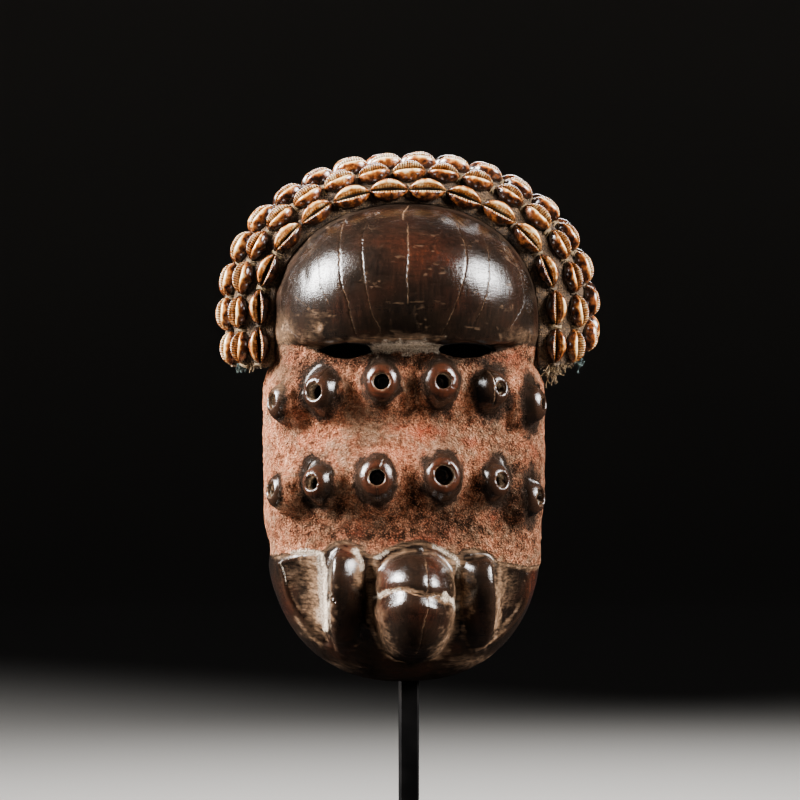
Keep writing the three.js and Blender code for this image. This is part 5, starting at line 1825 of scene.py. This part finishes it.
def scatter_tree():
    """Copies a collection's objects onto points, turned by the points' along and out."""
    tree = bpy.data.node_groups.new("set by hand on points", "GeometryNodeTree")
    tree.interface.new_socket("Geometry", in_out="OUTPUT", socket_type="NodeSocketGeometry")
    sockets = {}
    for name, kind in SCATTER_SOCKETS.items():
        sockets[name] = tree.interface.new_socket(name, in_out="INPUT", socket_type=kind).identifier
    given = add_node(tree, "NodeGroupInput").outputs
    along = add_node(tree, "GeometryNodeInputNamedAttribute", {"Name": "along"}, data_type="FLOAT_VECTOR")
    out = add_node(tree, "GeometryNodeInputNamedAttribute", {"Name": "out"}, data_type="FLOAT_VECTOR")
    stretch = add_node(tree, "GeometryNodeInputNamedAttribute", {"Name": "stretch"}, data_type="FLOAT")
    facing = add_node(
        tree, "FunctionNodeAxesToRotation",
        {"Primary Axis": out, "Secondary Axis": along},
        primary_axis="Z", secondary_axis="X",
    )
    back = add_node(tree, MATH, [given["Wobble"], -1], operation="MULTIPLY")
    sway = add_node(
        tree, "FunctionNodeRandomValue",
        {"Min": back, "Max": given["Wobble"], "Seed": given["Seed"]}, data_type="FLOAT_VECTOR",
    )
    sway = add_node(tree, "FunctionNodeEulerToRotation", [sway])
    turned = add_node(tree, "FunctionNodeRotateRotation", [facing, sway], rotation_space="LOCAL")
    size = add_node(
        tree, "FunctionNodeRandomValue",
        {2: given["Smallest"], 3: given["Largest"], "Seed": given["Seed"]}, data_type="FLOAT",
    )
    longer = add_node(tree, MATH, [size, stretch], operation="MULTIPLY")
    scale = add_node(tree, "ShaderNodeCombineXYZ", [longer, size, size])
    last = add_node(tree, MATH, [given["Kinds"], 1], operation="SUBTRACT")
    kind = add_node(
        tree, "FunctionNodeRandomValue", {4: 0, 5: last, "Seed": given["Seed"]}, data_type="INT",
    )
    copies = add_node(
        tree, "GeometryNodeCollectionInfo",
        {"Collection": given["Copies of"], "Separate Children": True, "Reset Children": True},
    )
    placed = add_node(
        tree, "GeometryNodeInstanceOnPoints",
        {
            "Points": given["Geometry"],
            "Instance": copies,
            "Pick Instance": True,
            "Instance Index": kind,
            "Rotation": turned,
            "Scale": scale,
        },
    )
    tone = add_node(
        tree, "FunctionNodeRandomValue", {2: 0, 3: 1, "Seed": given["Seed"]}, data_type="FLOAT",
    )
    marked = add_node(
        tree, "GeometryNodeStoreNamedAttribute", {"Geometry": placed, "Name": "tone", "Value": tone},
        data_type="FLOAT", domain="INSTANCE",
    )
    real = add_node(tree, "GeometryNodeRealizeInstances", {"Geometry": marked})
    coloured = add_node(
        tree, "GeometryNodeSetMaterial", {"Geometry": real, "Material": given["Material"]},
    )
    add_node(tree, "NodeGroupOutput", {"Geometry": coloured})
    return tree, sockets


SCATTER, SCATTER_INPUTS = scatter_tree()
print(f"{SCATTER.name}: {len(SCATTER.nodes)} nodes, {len(SCATTER_INPUTS)} inputs")


def scatter(name, points, along, out, copies, material, wobble=0, sizes=(1, 1), stretch=None, seed=0):
    """One mesh of copies set on the points, made by the tree and then plain."""
    mesh = bpy.data.meshes.new(name)
    mesh.from_pydata(((np.asarray(points) + [MASK_X, 0, 0]) * MM).tolist(), [], [])
    for attribute, values in (("along", along), ("out", out)):
        data = mesh.attributes.new(attribute, "FLOAT_VECTOR", "POINT").data
        data.foreach_set("vector", np.asarray(values, np.float32).ravel())
    store(mesh, "stretch", np.ones(len(points)) if stretch is None else stretch)
    obj = bpy.data.objects.new(name, mesh)
    bpy.context.scene.collection.objects.link(obj)
    modifier = obj.modifiers.new("set by hand", "NODES")
    modifier.node_group = SCATTER
    for key, value in (
        ("Copies of", copies),
        ("Kinds", len(copies.objects)),
        ("Wobble", float(wobble)),
        ("Smallest", float(sizes[0])),
        ("Largest", float(sizes[1])),
        ("Seed", seed),
        ("Material", material),
    ):
        modifier[SCATTER_INPUTS[key]] = value
    apply_modifiers(obj)
    for attribute in ("along", "out", "stretch"):
        extra = obj.data.attributes.get(attribute)
        if extra:
            obj.data.attributes.remove(extra)
    return obj


# %% [markdown]
# ## Polished shell
# Years of oil, smoke and handling have stained these shells: cream is left in patches along the
# slit, and the colour runs through orange and chestnut to nearly black at the margin. The crest of
# the broad lip is lighter, partly the shell's own cream and partly a painted highlight, and the slit
# and the grooves between the teeth are painted nearly black as painted shade. Shell enamel is glossy
# by nature, so its roughness is low, with an IOR near 1.55.


# %% Polished shell
def shell_material():
    material, tree = new_material("polished cowrie shell")
    at = SimpleNamespace()
    for name in ("slit", "crest", "rib", "lips", "rim", "tone"):
        setattr(at, name, add_node(tree, STORED, attribute_name=name).outputs["Fac"])
    place = add_node(tree, PLACE).outputs["Object"]
    mottle = add_node(tree, NOISE, {"Vector": place, "Scale": 1 / (3.5 * MM), "Detail": 4})
    level = add_node(tree, MATH, [mottle, 1.5, -0.69], operation="MULTIPLY_ADD")
    # The crest share lightens the top of the broad lip: partly the shell's cream, partly a painted
    # highlight.
    for spots, strength in ((at.tone, 0.24), (at.crest, 0.62), (at.lips, 0.5)):
        level = add_node(tree, MATH, [spots, strength, level], operation="MULTIPLY_ADD")
    colour = add_node(
        tree, RAMP, [level],
        stops=[(0, "#160b06"), (0.2, "#3f1e0e"), (0.42, "#87471b"), (0.64, "#c8853f"), (0.86, "#efcf9a")],
    )
    # Painted shade, nearly black, in the grooves between the teeth and in the slit; the margin is darker
    # too.
    groove = add_node(tree, MATH, [at.rib, 0.97], operation="MULTIPLY")
    for share, dark in ((groove, "#150b06"), (at.rim, "#24130a"), (at.slit, "#0e0906")):
        colour = add_node(tree, MIX, [share, colour, dark], data_type="RGBA")
    dull = add_node(tree, RANGE, [mottle, 0.4, 0.7, 0.18, 0.34])
    rough = add_node(tree, MIX, [at.slit, dull, 0.8], data_type="FLOAT")
    shader = add_node(
        tree, SHADER,
        {"Base Color": colour, "Roughness": rough, "IOR": 1.55, "Coat Weight": 0.6, "Coat Roughness": 0.08},
    )
    add_node(tree, OUTPUT, {"Surface": shader})
    print(f"{material.name}: {len(tree.nodes)} nodes")
    return material


SHELL_WOBBLE = math.radians(5)
shell_finish = shell_material()
for row, (turn, count, short) in enumerate(ROWS, 1):
    spots, along, normal, pitch = seats(turn, count, np.arange(count) + 0.5, short)
    random = np.random.default_rng(60 + row)
    side = np.ones(count) if row == 1 else -np.ones(count) if row < 4 else random.choice([-1, 1], count)
    sewn = scatter(
        f"sewn_cowries_{row}",
        spots + normal * SHELL_LIFT, along * side[:, None], normal, shells, shell_finish,
        wobble=SHELL_WOBBLE, sizes=(0.93, 1.03), stretch=np.full(count, pitch / SHELL_LENGTH), seed=row,
    )
    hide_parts(f"cowrie_row_{row}")
    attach(sewn, "root")
    print(f"{sewn.name}: {triangle_count(sewn)} triangles")

# %% [markdown]
# ## Coarse cloth
# The ground is hand-spun cotton, brown with dust and darker in faint patches. Its inside, behind the
# mask, is painted nearly black as painted shade. Thread spacing on such cloth is near 0.7 mm, about
# one pixel here, so the weave is drawn at 1.1 mm to show at all.
# Large patches stay faint, or the cloth would look printed.

# %% Coarse cloth
THREAD_SPACING = 1.1


def cloth_material():
    material, tree = new_material("hand-spun cotton, dusty")
    place = add_node(tree, PLACE).outputs["Object"]
    patches = add_node(tree, NOISE, {"Vector": place, "Scale": 1 / (14 * MM), "Detail": 5})
    fuzz = add_node(tree, NOISE, [place, 1 / (1.2 * MM), 4, 0.7])
    weave = add_node(
        tree, CELLS, {"Vector": place, "Scale": 1 / (THREAD_SPACING * MM), "Randomness": 0.35},
    )
    shade = add_node(tree, MATH, [fuzz, 0.8, -0.02], operation="MULTIPLY_ADD")
    shade = add_node(tree, MATH, [patches, 0.3, shade], operation="MULTIPLY_ADD")
    colour = add_node(
        tree, RAMP, [shade],
        stops=[(0.34, "#150d07"), (0.48, "#352414"), (0.6, "#5b4229"), (0.74, "#856744")],
    )
    # Painted shade: the cap's inside is nearly black.
    inside = add_node(tree, STORED, attribute_name="lining").outputs["Fac"]
    colour = add_node(tree, MIX, [inside, colour, "#0f0b08"], data_type="RGBA")
    height = add_node(tree, MATH, [weave, fuzz], operation="ADD")
    bump = add_node(tree, BUMP, {"Height": height, "Strength": 1.0, "Distance": 0.8 * MM})
    shader = add_node(
        tree, SHADER, {"Base Color": colour, "Roughness": 0.95, "Normal": bump, "Sheen Weight": 0.03},
    )
    add_node(tree, OUTPUT, {"Surface": shader})
    print(f"{material.name}: {len(tree.nodes)} nodes")
    return material


cloth_finish = cloth_material()
cloth.data.materials.clear()
cloth.data.materials.append(cloth_finish)
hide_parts("cloth_headdress")
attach(cloth, "root")

# %% [markdown]
# ## Thread knots
# Where two shells meet, a few turns of thread hold both tips down. Each knot is a handful of short
# strands that cross over the meeting point and go back into the cloth.

# %% Thread knots
STRAND_RADIUS = 0.3


def strand(points, radius, sides=6):
    """A thin tube along points, closed at both ends."""
    points = np.asarray(points, float)
    way = np.gradient(points, axis=0)
    way /= np.linalg.norm(way, axis=1)[:, None]
    side = np.cross(way, [0.31, 0.17, 0.93])
    side /= np.linalg.norm(side, axis=1)[:, None]
    up = np.cross(side, way)
    angle = np.linspace(0, 2 * np.pi, sides, endpoint=False)
    return [
        point + radius * (np.outer(np.cos(angle), aside) + np.outer(np.sin(angle), upward))
        for point, aside, upward in zip(points, side, up)
    ]


def knot(name, seed):
    """Five strands that cross over one point, each bowed a little."""
    random = np.random.default_rng(seed)
    strands = []
    for turn in np.radians([68, 82, 96, 112, 90]) + random.normal(0, 0.16, 5):
        t = np.linspace(-1, 1, 9)
        shift = random.uniform(-1.1, 1.1)
        x = shift + 3.9 * t * math.cos(turn) + 0.4 * np.sin(3 * t)
        y = 3.9 * t * math.sin(turn)
        z = 0.3 + random.uniform(1.6, 2.6) * (1 - t * t)
        rings = strand(np.stack([x, y, z], -1), STRAND_RADIUS * random.uniform(0.8, 1.2))
        strands.append(loft("strand", np.array(rings) - [MASK_X, 0, 0]))
    obj = join(name, strands)
    obj.data.polygons.foreach_set("use_smooth", [True] * len(obj.data.polygons))
    return obj


def thread_material(name, stops):
    material, tree = new_material(name)
    place = add_node(tree, PLACE).outputs["Object"]
    fibres = add_node(tree, NOISE, {"Vector": place, "Scale": 1 / (1.5 * MM), "Detail": 4})
    tone = add_node(tree, STORED, attribute_name="tone").outputs["Fac"]
    level = add_node(tree, MATH, [tone, 0.35, fibres], operation="MULTIPLY_ADD")
    colour = add_node(tree, RAMP, [level], stops=stops)
    bump = add_node(tree, BUMP, {"Height": fibres, "Strength": 0.5, "Distance": 0.3 * MM})
    shader = add_node(
        tree, SHADER, {"Base Color": colour, "Roughness": 0.8, "Normal": bump},
    )
    add_node(tree, OUTPUT, {"Surface": shader})
    print(f"{material.name}: {len(tree.nodes)} nodes")
    return material


thread_finish = thread_material(
    "waxed plant-fibre thread", [(0.35, "#2a1f16"), (0.6, "#57432e"), (0.9, "#8f7550")],
)
knots = hidden_set("knots", [knot("knot a", 1), knot("knot b", 2), knot("knot c", 3)])
held = [seats(turn, count, np.arange(count + 1), short) for turn, count, short in ROWS]
threads = scatter(
    "sewing_thread",
    np.concatenate([spots - 0.3 * normal for spots, _, normal, _ in held]),
    np.concatenate([along for _, along, _, _ in held]),
    np.concatenate([normal for _, _, normal, _ in held]),
    knots, thread_finish, wobble=0.2, sizes=(0.85, 1.15), seed=9,
)
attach(threads, "root")
print(f"{len(threads.data.polygons)} faces of thread")

# %% [markdown]
# ## The frayed hem
# The cloth's lower edge was never hemmed. Loose fibres hang from it, a torn scrap hangs beside the
# right cheek, and at the outer corners sit small tangles of a faded blue-green thread. All of it is
# scattered by the same tree, with the way out turned down.

# %% The frayed hem
FIBRE_RADIUS = 0.2
FRAY = [(-1, 70, 18, 88), (1, 100, 18, 75)]
SCRAP = {"x": 88.2, "y": RIM_Y - 19, "z": 301, "half": 3.2, "count": 90}
TANGLES = [(-1, (-97.5, 301), (4.5, 1.6), 9), (1, (105, 305), (3.4, 3.4), 11)]


def fibre(name, seed, length=6):
    """A loose curl that starts at the origin and runs along z."""
    random = np.random.default_rng(seed)
    t = np.linspace(0, 1, 7)
    curl = random.uniform(0.6, 1.6)
    x = curl * np.sin(3.5 * t + random.uniform(0, 6)) * t
    y = curl * np.cos(4.5 * t + random.uniform(0, 6)) * t
    rings = strand(np.stack([x, y, length * t], -1), FIBRE_RADIUS, sides=4)
    return loft(name, np.array(rings) - [MASK_X, 0, 0])


def hem_spots(side, count, first, last, random):
    """Seeded points on the cloth's lower edge on one side, between two turns round the roll."""
    spots = []
    for turn in np.radians(random.uniform(first, last, count)):
        line, _ = arch(roll_out(turn))
        x, z = line[-1] if side > 0 else line[0]
        widest = BROW_HALF_WIDTH + roll_out(math.pi / 2) * (SPREAD_RIGHT if side > 0 else SPREAD_LEFT)
        share = smooth(0.55, 1, (abs(x) - BROW_HALF_WIDTH) / (widest - BROW_HALF_WIDTH))
        y = ROLL_AXIS_Y - ROLL_RADIUS * math.cos(turn) + random.uniform(0, 2)
        spots.append((x, y, z + 1 + (HEM_LIFT_RIGHT if side > 0 else HEM_LIFT_LEFT) * share))
    return tucked(np.array(spots))


def hanging(count, random, loose):
    """Ways along and out for pieces that hang down, each with its own lean."""
    down = random.normal(0, loose, (count, 3)) + [0, -0.25, -1]
    return np.tile([1.0, 0, 0], (count, 1)), down / np.linalg.norm(down, axis=1)[:, None]


fibres = hidden_set("fibres", [fibre("fibre a", 4), fibre("fibre b", 5, 4.5), fibre("fibre c", 6, 7.5)])
random = np.random.default_rng(12)
ends = np.concatenate([hem_spots(*stretch, random) for stretch in FRAY])
frayed = scatter(
    "frayed_hem", ends, *hanging(len(ends), random, 0.5), fibres, thread_finish, wobble=0.4,
    sizes=(0.4, 1.0), seed=21,
)
middle = np.array([SCRAP["x"], SCRAP["y"], SCRAP["z"]])
ends = middle + random.normal(0, 0.5, (SCRAP["count"], 3)) * [SCRAP["half"], 1.2, 3.5]
scrap = scatter(
    "torn_scrap", ends, *hanging(len(ends), random, 0.35), fibres, thread_finish, wobble=0.3,
    sizes=(0.7, 1.25), seed=22,
)
indigo = thread_material(
    "faded indigo thread", [(0.35, "#0f1616"), (0.6, "#263433"), (0.9, "#64766f")],
)
spots = []
for side, (x, z), (wide, tall), count in TANGLES:
    for _ in range(count):
        spots.append((x + random.normal(0, 0.5) * wide, RIM_Y - 12, z + random.normal(0, 0.5) * tall))
tangles = scatter(
    "indigo_tangles", spots, *hanging(len(spots), random, 0.9), knots, indigo, wobble=1.5,
    sizes=(0.45, 0.75), seed=23,
)
for piece in (frayed, scrap, tangles):
    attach(piece, "root")
    print(f"{piece.name}: {triangle_count(piece)} triangles")

# %% [markdown]
# ## The stand
# Post and base are square mild steel, blackened hot with oil. That leaves a satin skin, nearly black,
# slightly cloudy, and a touch browner where it is worn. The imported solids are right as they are, so
# they only get their finish. Metals keep the default IOR.


# %% The stand
def steel_material():
    material, tree = new_material("oil-blackened steel")
    place = add_node(tree, PLACE).outputs["Object"]
    clouds = add_node(tree, NOISE, {"Vector": place, "Scale": 1 / (30 * MM), "Detail": 6})
    pits = add_node(tree, NOISE, {"Vector": place, "Scale": 1 / (0.9 * MM), "Detail": 2})
    colour = add_node(
        tree, RAMP, [clouds], stops=[(0.35, "#0d0c0c"), (0.6, "#1a1817"), (0.8, "#2a231e")],
    )
    rough = add_node(tree, RANGE, [clouds, 0.3, 0.7, 0.38, 0.55])
    bump = add_node(tree, BUMP, {"Height": pits, "Strength": 0.2, "Distance": 0.1 * MM})
    shader = add_node(
        tree, SHADER, {"Base Color": colour, "Metallic": 0.85, "Roughness": rough, "Normal": bump},
    )
    add_node(tree, OUTPUT, {"Surface": shader})
    print(f"{material.name}: {len(tree.nodes)} nodes")
    return material


steel_finish = steel_material()
for node in ("stand_post", "stand_base"):
    for part_slot in frame["nodes"][node].material_slots:
        part_slot.material = steel_finish
for collection in (shells, knots, fibres):
    for obj in list(collection.objects):
        bpy.data.objects.remove(obj)
    bpy.data.collections.remove(collection)
